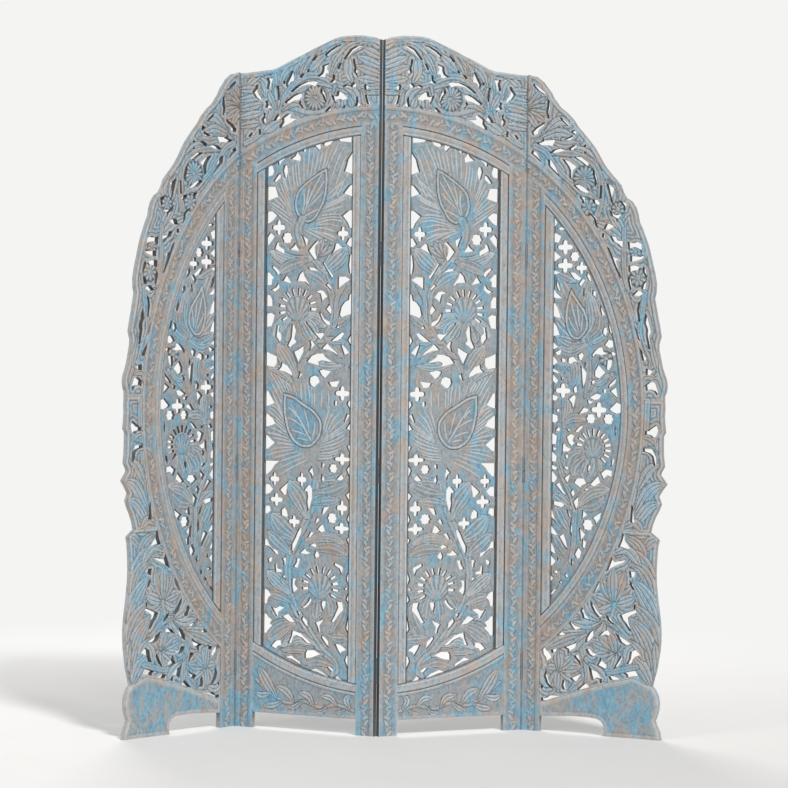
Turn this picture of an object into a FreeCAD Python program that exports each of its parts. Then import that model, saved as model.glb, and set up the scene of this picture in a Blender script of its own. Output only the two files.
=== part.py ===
import FreeCAD, Part
import math
import os

os.makedirs("parts", exist_ok=True)
V = FreeCAD.Vector

# Frame of one panel, in millimetres
PANEL_PITCH = 416.0         # from one hinge axis to the next
BOARD_T = 18.0              # thickness of the frame boards
EDGE_GAP = 0.6              # from a stile's edge to the plane through its hinge axis
STILE_W = 52.0
RAIL_BOTTOM_Z = 42.0        # clear height under the bottom rail, so the stiles end as feet
RAIL_NECK = 67.5            # height of the bottom rail where the round figure comes lowest
BEYOND = 2500.0             # reach of shapes that only trim others

# The round figure that runs over all four panels
GROOVE_SHARE = 1.8005       # radius of the line between moulding and arched band, in panel pitches
GROOVE_R = PANEL_PITCH * GROOVE_SHARE
ARC_BEAD_W = 26.0
BAND_W = 49.0
OUTER_SQUEEZE_SHARE = 0.905     # the outer panels carry the same circle drawn narrower
ARCH_CENTRE_Z = RAIL_BOTTOM_Z + RAIL_NECK + GROOVE_R
OPENING_R = GROOVE_R - ARC_BEAD_W
BAND_R = GROOVE_R + BAND_W

# Mouldings and pierced board, measured back from the front face of the frame
BEAD_W = 28.0
BEAD_T = 16.0
BEAD_CHAMFER = 5.0
BEAD_FRONT_Y = 1.0
BEAD_BACK_Y = BEAD_FRONT_Y + BEAD_T
JALI_SET_BACK = 7.0
JALI_T = 9.0
JALI_LAP = 9.0              # how far the pierced board reaches in under the mouldings

# Joinery
TENON_T = 6.0
TENON_L = 30.0
RAIL_TENON_Z = 52.0
RAIL_TENON_H = 46.0
FOOT_TENON_Z = 48.0
FOOT_TENON_H = 24.0
DOWEL_R = 3.0
DOWEL_HALF_L = 12.0
INNER_CREST_DOWEL_DEG = (83.7, 76.5, 65.8)
OUTER_BAND_DOWEL_DEG = (46.8, 21.4, -14.4, -43.0, -51.0)

# Butt hinges, let into the stiles' edges
HINGE_L = 68.0
HINGE_Z = (172.0, 700.0, 1270.0)
PIN_OFFSET = 0.8            # hinge axis this far outside the face of the boards
PIN_R = 1.5
PIN_RUNNING_GAP = 0.05
KNUCKLE_R = 3.0
KNUCKLE_GAP = 0.35          # between neighbouring knuckles, along the pin
BARREL_CLEARANCE = 0.4
LEAF_T = 1.6
LEAF_W = 14.0
SCREW_R = 1.4
SCREW_HEAD_R = 2.9
SCREW_L = 14.0
SCREW_INSET = 8.5           # from the face of the board to the row of screws
SCREW_STEP = 22.0

# Resting angles of the panels to the line of the screen
LEFT_OUTER_DEG = 55.2
LEFT_INNER_DEG = 19.2
RIGHT_INNER_DEG = 31.0
RIGHT_OUTER_DEG = 21.0

# Drawing grid: every traced place below is given in steps of it, across and up
PITCH_SHARE = 41.6
CENTRE_SHARE = 85.85
GRID_ACROSS = PANEL_PITCH / PITCH_SHARE
GRID_UP = ARCH_CENTRE_Z / CENTRE_SHARE

# Heights at which the outer panel's carved edge is pieced together
SIDE_SEAM_SHARE = 89.0
LOWER_SEAM_SHARE = 54.5

# Outline of the inner panel's crest, from the centre edge to the hinge edge
INNER_CREST_SHARES = (
    (0.0, 183.0), (2.0, 183.7), (5.0, 184.2), (8.0, 184.3), (11.0, 184.2), (13.0, 183.8),
    (16.0, 182.6), (20.0, 181.0), (23.0, 179.6), (25.0, 178.9), (27.0, 178.0), (30.0, 176.6),
    (32.0, 176.0), (35.0, 175.8), (38.0, 175.5), (42.0, 175.2),
)
INNER_CREST_CORNER_SHARES = ((42.0, 150.0), (0.0, 150.0))

# Openings cut through the inner crest, each a ring of points
INNER_CREST_HOLE_SHARES = (
    ((4.5, 181.6), (7.0, 181.6), (8.8, 180.7), (9.8, 179.5), (10.8, 178.2), (10.1, 178.0),
     (9.3, 178.8), (8.0, 180.1), (6.5, 181.0)),
    ((11.2, 182.1), (13.0, 181.7), (15.0, 180.6), (16.4, 179.5), (15.4, 178.7), (15.2, 179.5),
     (13.4, 180.7)),
    ((18.4, 179.8), (19.2, 179.3), (20.3, 178.0), (19.7, 177.9), (18.8, 178.6)),
    ((7.5, 178.2), (8.0, 178.2), (7.9, 177.0), (7.5, 175.8), (7.8, 174.8), (6.4, 173.2), (6.8, 174.4),
     (6.5, 174.9), (7.0, 175.4), (7.1, 176.6)),
    ((11.2, 177.0), (11.9, 177.3), (12.7, 175.8), (12.1, 175.5), (11.5, 176.3)),
    ((15.0, 177.3), (17.1, 176.6), (17.1, 175.6), (17.5, 174.6), (18.6, 173.9), (16.2, 173.6),
     (16.0, 174.5), (15.0, 174.8), (15.7, 175.8)),
    ((13.2, 174.0), (13.9, 174.3), (14.0, 172.9), (14.9, 172.1), (13.0, 172.1), (13.2, 173.0)),
    ((21.0, 175.9), (21.4, 175.9), (21.7, 175.2), (20.9, 175.0)),
    ((22.2, 174.6), (23.0, 174.8), (23.9, 173.8), (23.2, 173.5), (22.8, 174.1)),
    ((25.8, 175.7), (26.4, 175.4), (27.2, 173.8), (28.0, 172.4), (27.8, 171.4), (27.3, 171.1),
     (26.7, 172.5), (25.5, 173.0)),
    ((28.2, 172.9), (28.9, 172.9), (28.7, 172.2), (28.2, 172.0)),
    ((29.9, 171.7), (30.8, 171.5), (30.5, 170.5), (30.4, 169.2), (30.2, 167.8), (29.8, 167.9),
     (29.7, 169.2), (30.0, 170.6)),
    ((31.8, 173.8), (33.8, 173.8), (33.4, 172.8), (33.8, 171.0), (33.0, 170.7), (32.5, 171.8)),
    ((36.2, 172.2), (37.0, 172.0), (37.3, 171.2), (38.2, 170.2), (37.4, 168.9), (36.0, 167.9),
     (35.2, 167.8), (35.6, 168.9), (36.2, 169.5), (36.7, 170.6)),
    ((33.3, 168.0), (34.2, 167.6), (33.8, 166.9), (34.2, 166.0), (33.0, 165.8), (32.4, 165.0),
     (32.4, 166.2), (33.3, 166.8)),
    ((34.0, 164.5), (34.7, 164.6), (34.5, 163.8), (35.3, 162.8), (34.9, 161.8), (34.1, 161.3),
     (33.9, 162.6), (34.2, 163.6)),
    ((35.0, 160.2), (36.2, 160.2), (36.0, 159.6), (36.1, 158.8), (35.5, 158.7), (35.3, 159.6)),
    ((37.2, 159.1), (38.4, 159.4), (39.2, 158.4), (38.3, 158.0), (38.0, 158.7)),
    ((18.3, 172.3), (20.0, 172.7), (22.0, 172.6), (24.0, 171.8), (25.5, 170.8), (26.5, 170.0),
     (25.6, 169.9), (24.4, 170.7), (23.0, 171.5), (21.0, 171.8), (19.2, 171.2)),
    ((23.0, 169.4), (24.5, 169.5), (26.0, 168.9), (28.3, 167.3), (28.0, 166.9), (26.8, 167.0),
     (25.2, 167.7), (23.9, 167.8), (23.1, 168.6)),
    ((7.0, 171.9), (7.9, 171.9), (8.7, 171.1), (8.4, 170.7), (7.1, 170.7)),
    ((9.4, 171.6), (10.1, 171.4), (11.0, 171.0), (9.5, 170.7)),
    ((3.0, 170.9), (3.5, 170.8), (4.2, 171.6), (4.7, 171.0), (4.5, 170.0), (3.7, 169.9)),
    ((3.5, 168.6), (4.4, 168.6), (4.2, 167.6), (3.8, 166.3), (2.7, 166.1), (3.3, 167.2)),
    ((6.5, 168.3), (6.9, 168.1), (7.0, 166.8), (7.3, 165.7), (6.2, 165.6), (5.7, 166.1), (6.3, 167.0)),
    ((9.4, 167.8), (10.5, 168.9), (11.8, 169.8), (12.6, 169.7), (12.8, 168.7), (13.4, 168.5),
     (14.3, 168.9), (13.9, 167.6), (13.1, 166.5), (12.8, 166.8), (12.7, 167.6), (12.0, 167.8),
     (11.2, 167.3)),
    ((10.2, 166.2), (11.0, 165.4), (10.2, 165.3)),
    ((17.4, 170.7), (17.7, 169.6), (17.0, 168.8), (16.6, 167.8), (15.9, 166.7), (15.8, 167.8),
     (16.1, 168.8), (16.6, 169.8)),
    ((14.4, 165.8), (15.0, 165.7), (15.8, 164.9), (16.2, 164.4), (14.5, 164.8)),
    ((23.5, 167.7), (24.1, 167.0), (23.2, 165.7), (22.5, 165.4), (23.0, 166.4)),
    ((24.4, 162.9), (26.6, 163.0), (26.2, 164.1), (27.5, 164.2), (29.1, 163.1), (29.0, 162.0),
     (29.6, 161.2), (29.9, 160.4), (29.2, 160.5), (27.5, 161.3), (25.8, 162.1)),
    ((29.7, 163.5), (30.2, 164.3), (31.0, 163.5), (31.7, 162.3), (31.0, 162.4), (29.4, 162.9)),
)

# Openings of the inner panel's pierced board
INNER_JALI_HOLE_SHARES = (
    ((8.4, 157.7), (12.7, 157.4), (12.0, 156.7), (8.4, 156.3)),
    ((14.0, 156.9), (15.0, 157.2), (16.3, 156.8), (17.0, 155.8), (16.0, 155.3), (14.5, 155.9)),
    ((17.9, 156.5), (19.9, 156.0), (18.6, 154.8), (18.1, 154.1), (17.4, 155.1)),
    ((22.0, 155.3), (22.9, 155.0), (22.9, 154.1), (22.0, 154.0)),
    ((24.7, 154.3), (25.4, 153.0), (26.6, 152.2), (24.8, 151.8), (23.6, 151.5), (23.4, 152.6)),
    ((28.2, 152.5), (29.4, 152.5), (30.4, 151.8), (30.3, 150.6), (29.6, 150.8), (29.2, 151.5)),
    ((27.5, 150.6), (28.5, 150.5), (28.9, 149.2), (28.3, 147.1), (27.7, 147.1), (27.2, 148.8)),
    ((32.0, 150.5), (33.6, 150.6), (33.6, 147.6), (31.9, 147.9), (31.4, 149.0)),
    ((29.5, 148.5), (30.4, 148.1), (31.7, 146.4), (31.0, 145.9), (29.4, 147.3)),
    ((7.6, 153.9), (8.3, 153.7), (9.6, 151.9), (10.1, 150.0), (10.6, 148.7), (8.2, 147.9), (7.6, 147.9)),
    ((7.6, 145.4), (9.0, 145.0), (10.8, 142.9), (8.2, 142.0), (7.6, 142.0)),
    ((31.0, 144.9), (33.6, 144.9), (33.6, 141.4), (32.8, 141.3), (30.1, 142.2)),
    ((7.6, 138.5), (9.2, 138.4), (11.1, 137.0), (9.6, 135.2), (9.0, 133.8), (7.6, 133.8)),
    ((30.5, 137.2), (32.0, 138.4), (33.6, 138.2), (33.6, 135.2), (32.7, 135.2), (31.5, 136.0)),
    ((31.1, 131.6), (32.6, 132.8), (33.6, 131.4), (33.6, 129.2), (33.2, 129.1), (32.3, 130.0)),
    ((7.6, 131.4), (9.0, 131.1), (9.9, 129.6), (9.0, 128.9), (7.6, 128.9)),
    ((10.8, 128.6), (12.4, 130.0), (13.1, 129.6), (13.4, 128.2), (14.4, 126.5), (12.8, 127.7)),
    ((21.0, 130.8), (23.1, 132.1), (22.4, 130.6), (22.0, 129.3), (21.3, 129.2)),
    ((17.7, 130.2), (18.6, 130.4), (19.8, 129.3), (21.1, 127.8), (20.4, 126.8), (19.0, 125.1),
     (18.4, 126.0), (18.9, 127.4), (19.0, 128.9)),
    ((23.6, 127.8), (25.0, 129.9), (25.7, 128.9), (26.7, 128.2), (25.0, 127.9)),
    ((29.9, 130.5), (30.7, 129.9), (31.3, 128.3), (29.6, 127.5), (28.2, 126.6), (28.1, 128.0),
     (29.7, 129.0)),
    ((7.6, 126.9), (8.8, 126.7), (9.1, 124.0), (8.8, 121.8), (7.6, 121.8)),
    ((16.1, 124.9), (16.7, 124.6), (15.3, 122.4), (13.8, 120.1), (13.4, 121.2), (15.0, 123.0)),
    ((17.6, 122.3), (19.0, 123.2), (21.1, 123.4), (20.7, 122.8), (19.0, 122.5)),
    ((8.4, 120.2), (9.8, 121.0), (12.1, 120.9), (12.1, 117.5), (11.0, 118.5)),
    ((22.6, 122.7), (23.8, 121.4), (24.4, 119.8), (22.0, 119.6), (20.6, 118.3), (20.7, 119.2),
     (22.0, 121.0)),
    ((27.6, 121.6), (28.1, 120.7), (28.7, 119.8), (27.4, 119.4), (25.9, 119.2), (26.9, 120.6)),
    ((29.9, 122.7), (31.6, 123.9), (32.1, 123.4), (31.0, 122.3), (30.3, 121.2), (29.5, 121.6),
     (29.5, 122.2)),
    ((32.6, 122.0), (33.6, 122.0), (33.6, 118.5), (31.8, 118.8), (31.8, 120.1), (31.2, 120.6)),
    ((29.7, 119.3), (30.2, 119.1), (30.8, 118.1), (32.2, 117.4), (31.0, 116.7), (29.5, 117.9)),
    ((15.0, 119.3), (15.7, 118.8), (14.8, 117.9), (14.0, 117.1), (13.9, 118.0)),
    ((15.1, 115.7), (16.2, 117.1), (17.4, 117.4), (18.9, 117.0), (17.5, 116.5), (17.2, 115.5),
     (16.8, 114.0), (16.1, 115.0)),
    ((7.6, 116.8), (8.8, 116.3), (9.1, 114.8), (10.2, 114.3), (11.2, 113.0), (11.7, 110.8),
     (11.0, 110.1), (9.0, 110.9), (7.6, 111.3)),
    ((14.6, 114.0), (15.0, 113.2), (15.7, 112.4), (15.0, 111.6), (14.0, 110.7), (13.8, 112.2)),
    ((32.3, 115.9), (33.6, 116.0), (33.6, 113.0), (31.6, 113.1), (31.7, 114.8)),
    ((17.3, 111.9), (17.5, 111.0), (16.7, 109.4), (15.6, 108.3), (14.2, 107.8), (14.3, 109.0),
     (15.9, 109.7)),
    ((21.2, 109.2), (21.4, 108.6), (19.6, 106.5), (17.2, 104.1), (15.9, 105.6), (16.4, 106.1),
     (18.0, 105.9), (19.0, 106.4), (20.2, 107.8)),
    ((30.9, 110.6), (32.0, 111.3), (33.6, 111.0), (33.6, 107.5), (31.8, 107.7), (31.3, 109.0)),
    ((12.0, 108.5), (12.6, 107.4), (11.4, 107.4)),
    ((25.1, 108.3), (25.8, 108.1), (25.9, 106.6), (26.1, 104.6), (27.1, 102.6), (26.4, 101.9),
     (25.2, 102.9), (24.2, 103.5), (24.9, 104.4), (24.4, 106.6)),
    ((29.4, 107.9), (30.3, 107.9), (30.7, 105.0), (29.4, 103.1), (28.8, 104.4), (28.9, 105.6),
     (29.7, 106.4)),
    ((7.5, 106.2), (8.2, 105.8), (9.1, 104.2), (8.3, 102.8), (7.5, 102.2)),
    ((9.9, 106.0), (11.0, 106.3), (14.1, 103.9), (12.2, 104.0), (10.9, 104.6)),
    ((10.8, 103.3), (11.1, 102.8), (10.1, 100.2), (8.5, 100.9), (9.5, 102.1)),
    ((15.2, 103.5), (16.9, 101.8), (15.0, 101.6), (13.4, 100.9), (11.6, 99.7), (12.3, 101.0),
     (14.2, 102.5)),
    ((19.6, 104.1), (20.4, 103.9), (20.1, 102.8), (20.5, 101.1), (18.7, 102.8)),
    ((22.1, 102.8), (24.0, 101.5), (25.3, 100.9), (24.4, 99.0), (23.9, 97.7), (22.9, 99.6), (22.1, 101.0)),
    ((13.3, 98.3), (15.6, 99.7), (16.2, 100.6), (18.4, 100.5), (20.0, 99.9), (21.3, 98.3),
     (19.0, 97.7), (17.3, 97.3), (17.7, 98.4), (16.6, 98.8), (15.0, 98.5)),
    ((30.1, 99.6), (32.0, 100.3), (33.6, 101.1), (33.6, 97.2), (31.0, 96.7), (30.1, 97.8)),
    ((25.5, 94.2), (25.5, 95.4), (26.9, 97.2), (28.8, 98.1), (29.1, 96.8), (29.9, 96.0), (28.0, 95.6),
     (26.6, 94.9)),
    ((22.4, 95.0), (23.2, 95.7), (23.9, 93.6), (23.1, 94.1)),
    ((13.8, 95.9), (16.4, 96.4), (17.6, 96.0), (16.9, 94.8), (15.7, 93.9)),
    ((7.5, 97.5), (8.7, 97.0), (7.5, 96.3)),
    ((17.6, 94.3), (18.8, 94.8), (20.3, 94.2), (20.5, 93.0), (20.0, 92.0), (19.0, 91.5), (17.1, 93.0)),
    ((11.1, 93.7), (12.4, 93.3), (14.7, 93.0), (14.0, 91.9), (12.1, 91.7)),
    ((7.5, 88.5), (8.8, 88.1), (9.1, 87.2), (8.1, 85.9), (7.5, 85.9)),
    ((11.9, 88.1), (12.8, 88.1), (12.9, 86.9), (11.9, 86.8)),
    ((32.6, 90.3), (33.6, 90.3), (33.6, 86.4), (32.7, 86.4), (30.7, 87.2)),
    ((8.2, 84.4), (9.0, 84.9), (9.9, 82.7), (9.4, 82.5)),
    ((7.5, 82.9), (7.9, 82.9), (9.3, 80.8), (7.9, 80.1), (7.5, 80.1)),
    ((32.8, 84.3), (33.6, 84.3), (33.6, 80.9), (32.6, 80.9), (30.3, 81.7), (31.2, 83.1)),
    ((32.8, 78.5), (33.6, 78.5), (33.6, 74.9), (32.6, 74.9), (30.5, 76.6), (31.6, 77.5)),
    ((7.5, 76.9), (9.0, 76.2), (8.5, 75.0), (7.5, 74.7)),
    ((15.4, 71.4), (16.4, 71.6), (16.5, 70.3), (15.7, 70.5)),
    ((7.5, 71.7), (8.2, 71.2), (9.1, 70.0), (8.4, 68.3), (7.5, 68.5)),
    ((9.7, 67.7), (10.6, 68.9), (12.2, 67.2), (10.4, 67.1)),
    ((16.3, 68.7), (16.6, 67.2), (16.2, 66.2), (15.4, 67.2), (15.8, 68.1)),
    ((19.2, 70.7), (20.4, 69.2), (19.7, 68.6), (19.2, 67.1), (18.7, 68.6)),
    ((29.1, 71.7), (33.6, 71.7), (33.6, 68.2), (32.6, 68.2), (31.4, 69.3), (30.5, 70.6)),
    ((26.3, 66.5), (27.2, 65.7), (28.4, 64.7), (29.1, 64.0), (28.0, 62.8), (27.0, 62.5), (26.7, 64.4)),
    ((30.9, 64.2), (32.0, 65.4), (33.6, 65.3), (33.6, 62.7), (31.8, 63.1)),
    ((19.1, 64.6), (19.8, 65.7), (20.6, 65.5), (21.8, 64.1), (20.9, 63.8), (20.7, 62.4), (20.9, 61.0),
     (20.4, 58.5), (19.8, 59.6), (19.1, 62.0)),
    ((7.5, 64.9), (9.3, 63.2), (8.4, 61.9), (7.5, 61.3)),
    ((13.9, 60.1), (15.9, 59.7), (16.4, 58.1), (15.5, 58.1), (14.7, 59.0)),
    ((31.9, 59.7), (33.6, 59.5), (33.6, 57.6), (32.6, 57.6), (31.5, 58.4)),
    ((27.5, 59.6), (28.6, 58.6), (28.5, 57.2), (27.2, 56.8), (26.3, 57.1), (26.7, 58.6)),
    ((7.5, 58.5), (8.4, 58.2), (8.9, 56.8), (8.0, 55.3), (7.5, 55.3)),
    ((17.4, 57.3), (17.9, 56.8), (18.4, 55.6), (17.6, 55.7), (16.9, 56.4)),
    ((15.9, 55.6), (17.0, 54.7), (17.7, 53.8), (16.6, 53.1), (15.1, 53.5), (15.5, 54.6)),
    ((18.5, 52.9), (19.6, 53.3), (20.5, 51.6), (19.7, 51.6)),
    ((22.1, 54.1), (23.0, 53.9), (23.7, 52.8), (24.3, 51.4), (25.3, 49.6), (25.3, 48.0), (24.8, 47.5),
     (23.9, 49.2), (22.9, 51.4), (22.3, 52.6)),
    ((7.5, 52.9), (8.9, 51.6), (8.5, 50.6), (7.5, 49.9)),
    ((17.5, 49.6), (18.4, 50.3), (19.9, 49.5), (18.2, 48.9)),
    ((19.4, 47.5), (20.6, 48.0), (21.2, 48.9), (21.9, 48.2), (22.9, 47.3), (21.0, 47.1)),
    ((33.6, 50.7), (33.6, 49.0), (32.5, 48.9), (31.2, 47.9), (30.2, 46.8), (29.1, 46.7), (29.3, 47.7),
     (31.0, 48.3), (32.0, 49.5), (32.6, 50.7)),
    ((16.7, 46.9), (17.2, 47.9), (18.0, 48.3), (18.5, 46.9), (18.0, 46.0)),
    ((9.7, 44.2), (12.4, 45.4), (12.5, 44.5), (11.0, 43.7), (10.2, 41.9), (9.7, 43.6)),
    ((22.5, 45.9), (23.8, 45.9), (23.9, 44.8), (24.7, 43.6), (23.4, 43.2), (22.9, 44.4)),
    ((26.7, 46.1), (28.1, 45.6), (27.7, 45.0), (27.6, 43.9), (26.9, 43.9)),
    ((29.6, 44.5), (30.3, 44.1), (30.1, 42.0), (28.1, 42.0), (27.9, 42.6), (29.3, 43.0)),
    ((30.9, 46.1), (32.0, 45.7), (32.5, 45.3), (32.0, 44.1), (31.1, 45.0)),
    ((27.0, 41.5), (28.1, 40.9), (26.8, 39.9)),
    ((7.5, 42.8), (8.4, 42.7), (8.9, 41.2), (8.5, 39.9), (7.5, 39.9)),
    ((8.4, 39.0), (8.9, 38.9), (9.5, 38.3), (8.5, 37.9)),
    ((7.5, 37.3), (8.4, 36.9), (8.9, 35.6), (8.0, 34.4), (7.5, 34.6)),
    ((23.3, 41.1), (24.2, 40.5), (25.1, 40.4), (25.1, 38.0), (24.6, 36.3), (24.1, 37.0), (23.1, 37.8),
     (24.1, 39.0), (24.0, 40.0)),
    ((32.7, 37.3), (33.6, 37.3), (33.6, 33.4), (32.5, 33.4), (32.1, 35.0), (31.2, 35.8), (32.0, 36.9)),
    ((9.8, 34.9), (11.7, 34.9), (11.3, 33.4), (12.5, 30.8), (13.3, 29.6), (12.4, 29.2), (10.9, 31.4),
     (9.4, 33.0)),
    ((14.7, 34.9), (16.1, 34.9), (16.3, 34.0), (15.7, 32.1), (14.8, 33.8)),
    ((18.9, 35.0), (19.6, 35.9), (20.1, 34.6), (21.2, 33.4), (22.2, 32.9), (21.0, 32.7), (19.7, 33.8)),
    ((22.2, 31.6), (23.5, 31.9), (22.8, 30.5)),
    ((27.2, 32.6), (28.8, 33.0), (30.0, 32.3), (31.3, 32.7), (30.5, 31.5), (29.7, 30.2), (29.0, 30.3),
     (28.9, 31.4)),
    ((7.5, 32.5), (7.8, 32.4), (8.3, 31.0), (8.9, 27.9), (8.0, 26.6), (7.5, 26.7)),
    ((15.6, 30.7), (16.4, 29.7), (18.0, 29.0), (17.3, 27.8), (17.0, 26.5), (16.3, 26.7), (16.5, 28.4),
     (15.6, 29.6)),
    ((21.6, 30.7), (22.1, 29.6), (21.1, 28.3), (19.9, 27.3), (20.2, 29.4)),
    ((26.0, 31.1), (28.0, 30.2), (26.0, 28.9), (23.8, 28.6), (24.7, 29.8)),
    ((32.6, 30.7), (33.6, 30.7), (33.6, 25.5), (32.6, 25.5), (32.0, 26.5), (30.7, 27.6), (31.5, 28.2),
     (30.9, 29.2), (31.9, 29.8)),
    ((15.7, 26.0), (16.1, 25.2), (14.9, 23.6), (13.7, 22.4), (13.9, 24.4)),
    ((24.9, 26.6), (25.2, 25.0), (26.0, 23.2), (25.0, 23.1), (24.3, 25.2), (23.8, 25.4), (22.0, 24.7),
     (20.6, 23.5), (18.6, 23.2), (20.0, 24.3), (22.0, 25.9), (23.6, 26.4)),
    ((8.5, 22.4), (10.2, 23.6), (12.1, 23.8), (11.3, 22.2), (10.2, 20.7), (9.9, 21.8)),
    ((28.2, 23.9), (30.0, 23.5), (31.3, 22.1), (29.8, 21.3), (29.1, 22.3), (27.9, 22.6)),
    ((16.2, 20.8), (18.0, 21.7), (20.4, 21.6), (20.9, 20.8), (20.9, 19.4), (19.0, 19.7), (17.4, 20.3)),
    ((7.5, 21.3), (8.8, 20.5), (9.1, 19.4), (8.5, 18.0), (8.0, 17.1), (7.5, 17.5)),
    ((24.8, 20.0), (27.0, 19.3), (25.0, 18.9), (22.0, 17.3), (22.3, 18.4), (24.0, 19.3)),
    ((12.1, 16.8), (13.4, 17.7), (14.3, 17.4), (13.0, 16.2)),
    ((13.6, 14.6), (15.0, 15.9), (17.6, 16.9), (18.2, 16.7), (19.4, 16.3), (17.4, 15.9), (15.6, 15.2)),
    ((9.7, 14.0), (11.1, 15.6), (12.1, 14.8), (11.5, 13.9)),
)

# Crosses of the inner board: centre across, centre up, half width, half height
INNER_CROSS_SHARES = (
    (10.8, 132.3, 1.7, 1.9), (10.5, 90.1, 2.2, 1.9), (30.0, 134.0, 2.0, 2.0),
    (10.4, 72.7, 2.3, 1.5), (22.4, 67.0, 1.5, 1.9), (30.6, 66.9, 1.5, 1.8), (30.0, 61.4, 2.0, 1.7),
    (10.3, 59.8, 1.7, 2.0), (24.6, 55.7, 1.8, 1.6), (10.4, 54.4, 2.2, 1.5),
)

# Eight-pointed openings: centre across, centre up, radius
INNER_STAR_SHARES = (
    (27.4, 131.2, 1.7), (13.0, 70.2, 1.4), (13.2, 57.0, 1.6),
)

# One arm of a cross and the corner after it, in shares of its half width and half height
CROSS_ARM_SHARES = ((0.84, -0.3), (1.0, -0.15), (1.0, 0.15), (0.84, 0.3), (0.36, 0.36))
STAR_HOLLOW_SHARE = 0.8      # how far a star goes in between its points

# Daisies, whose petals are parted by slots: centre across and up, middle of the slots' reach,
# angle of the first slot, angle from one to the next and how many there are
INNER_DAISY_SHARES = (
    (24.0, 112.3, 4.7, -33.0, 21.3, 11), (16.5, 38.7, 4.5, -8.0, 22.0, 11),
)
OUTER_DAISY_SHARES = ((19.9, 76.2, 4.2, -47.0, 19.6, 12),)
DAISY_SLOT_L = 19.0
DAISY_SLOT_W = 7.0

# Outline of the outer panel's free edge, from the top of the hinge edge down to the foot
OUTER_EDGE_SHARES = (
    (0.0, 175.5), (2.0, 175.0), (4.0, 173.5), (5.0, 172.2), (6.3, 170.6), (7.0, 169.2),
    (8.0, 168.0), (9.0, 166.7), (11.0, 165.2), (13.0, 163.2), (14.3, 161.3), (16.0, 159.5),
    (17.5, 157.8), (19.0, 156.0), (20.2, 154.2), (21.5, 152.0), (22.5, 150.5), (24.0, 148.8),
    (25.5, 147.2), (26.8, 145.8), (27.5, 144.0), (28.5, 142.4), (30.0, 141.5), (31.2, 139.8),
    (31.8, 138.2), (32.2, 136.0), (33.0, 134.5), (34.0, 132.0), (34.8, 130.0), (35.5, 127.5),
    (36.0, 125.5), (36.8, 122.5), (37.3, 119.8), (37.2, 117.5), (36.8, 116.0), (37.3, 113.5),
    (37.8, 111.0), (38.3, 108.8), (38.8, 106.0), (38.2, 104.0), (38.2, 102.5), (38.6, 100.8),
    (39.2, 98.0), (39.9, 96.0), (40.5, 94.5), (40.7, 93.0), (40.5, 91.5), (40.0, 90.3),
    (40.0, 89.0), (40.1, 87.0), (40.0, 85.0), (40.2, 82.5), (40.4, 80.8), (39.8, 79.8),
    (39.8, 77.0), (39.9, 74.5), (40.2, 71.8), (39.3, 70.3), (39.2, 69.6), (41.0, 67.3),
    (39.8, 65.8), (38.7, 64.0), (39.5, 62.0), (38.8, 60.3), (37.8, 58.5), (37.0, 56.5),
    (36.5, 54.5), (37.8, 53.6), (39.0, 52.6), (38.6, 51.0), (38.4, 49.0), (38.3, 47.0),
    (38.2, 45.0), (38.2, 43.5), (38.3, 41.0), (38.5, 39.0), (38.8, 36.5), (39.2, 34.0),
    (39.6, 31.0), (39.8, 28.5), (39.8, 26.0), (39.6, 23.5), (39.2, 21.0), (38.8, 18.5),
    (38.2, 16.5), (37.6, 14.0), (38.5, 13.0), (39.3, 11.5), (39.6, 9.5), (39.5, 8.0), (39.1, 6.5),
    (38.5, 5.0), (38.9, 3.8), (39.8, 2.0), (40.2, 0.0),
)
OUTER_CORNER_SHARES = ((0.0, 0.0),)

# Underside of the foot board, from the foot back into the stile, and its top edge, from the stile outwards
FOOT_UNDERSIDE_SHARES = (
    (23.8, 0.0), (24.3, 1.5), (24.0, 3.0), (23.2, 4.0), (22.0, 4.5), (20.0, 4.7), (15.0, 4.7),
    (10.0, 4.4), (5.2, 4.0), (0.0, 4.0),
)
FOOT_TOP_SHARES = (
    (0.0, 7.7), (5.2, 7.7), (6.8, 7.8), (9.0, 8.6), (11.5, 9.5), (13.0, 10.0), (15.6, 11.0),
    (18.0, 11.8), (20.0, 12.4), (22.0, 13.0), (24.0, 13.6), (26.0, 14.3), (28.0, 14.7), (30.0, 15.2),
    (32.0, 15.8), (33.5, 15.4), (35.0, 14.7), (36.5, 14.2), (37.6, 14.0),
)
FOOT_ROOM_SHARES = ((42.0, 14.0), (42.0, 0.0), (0.0, 0.0))

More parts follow.
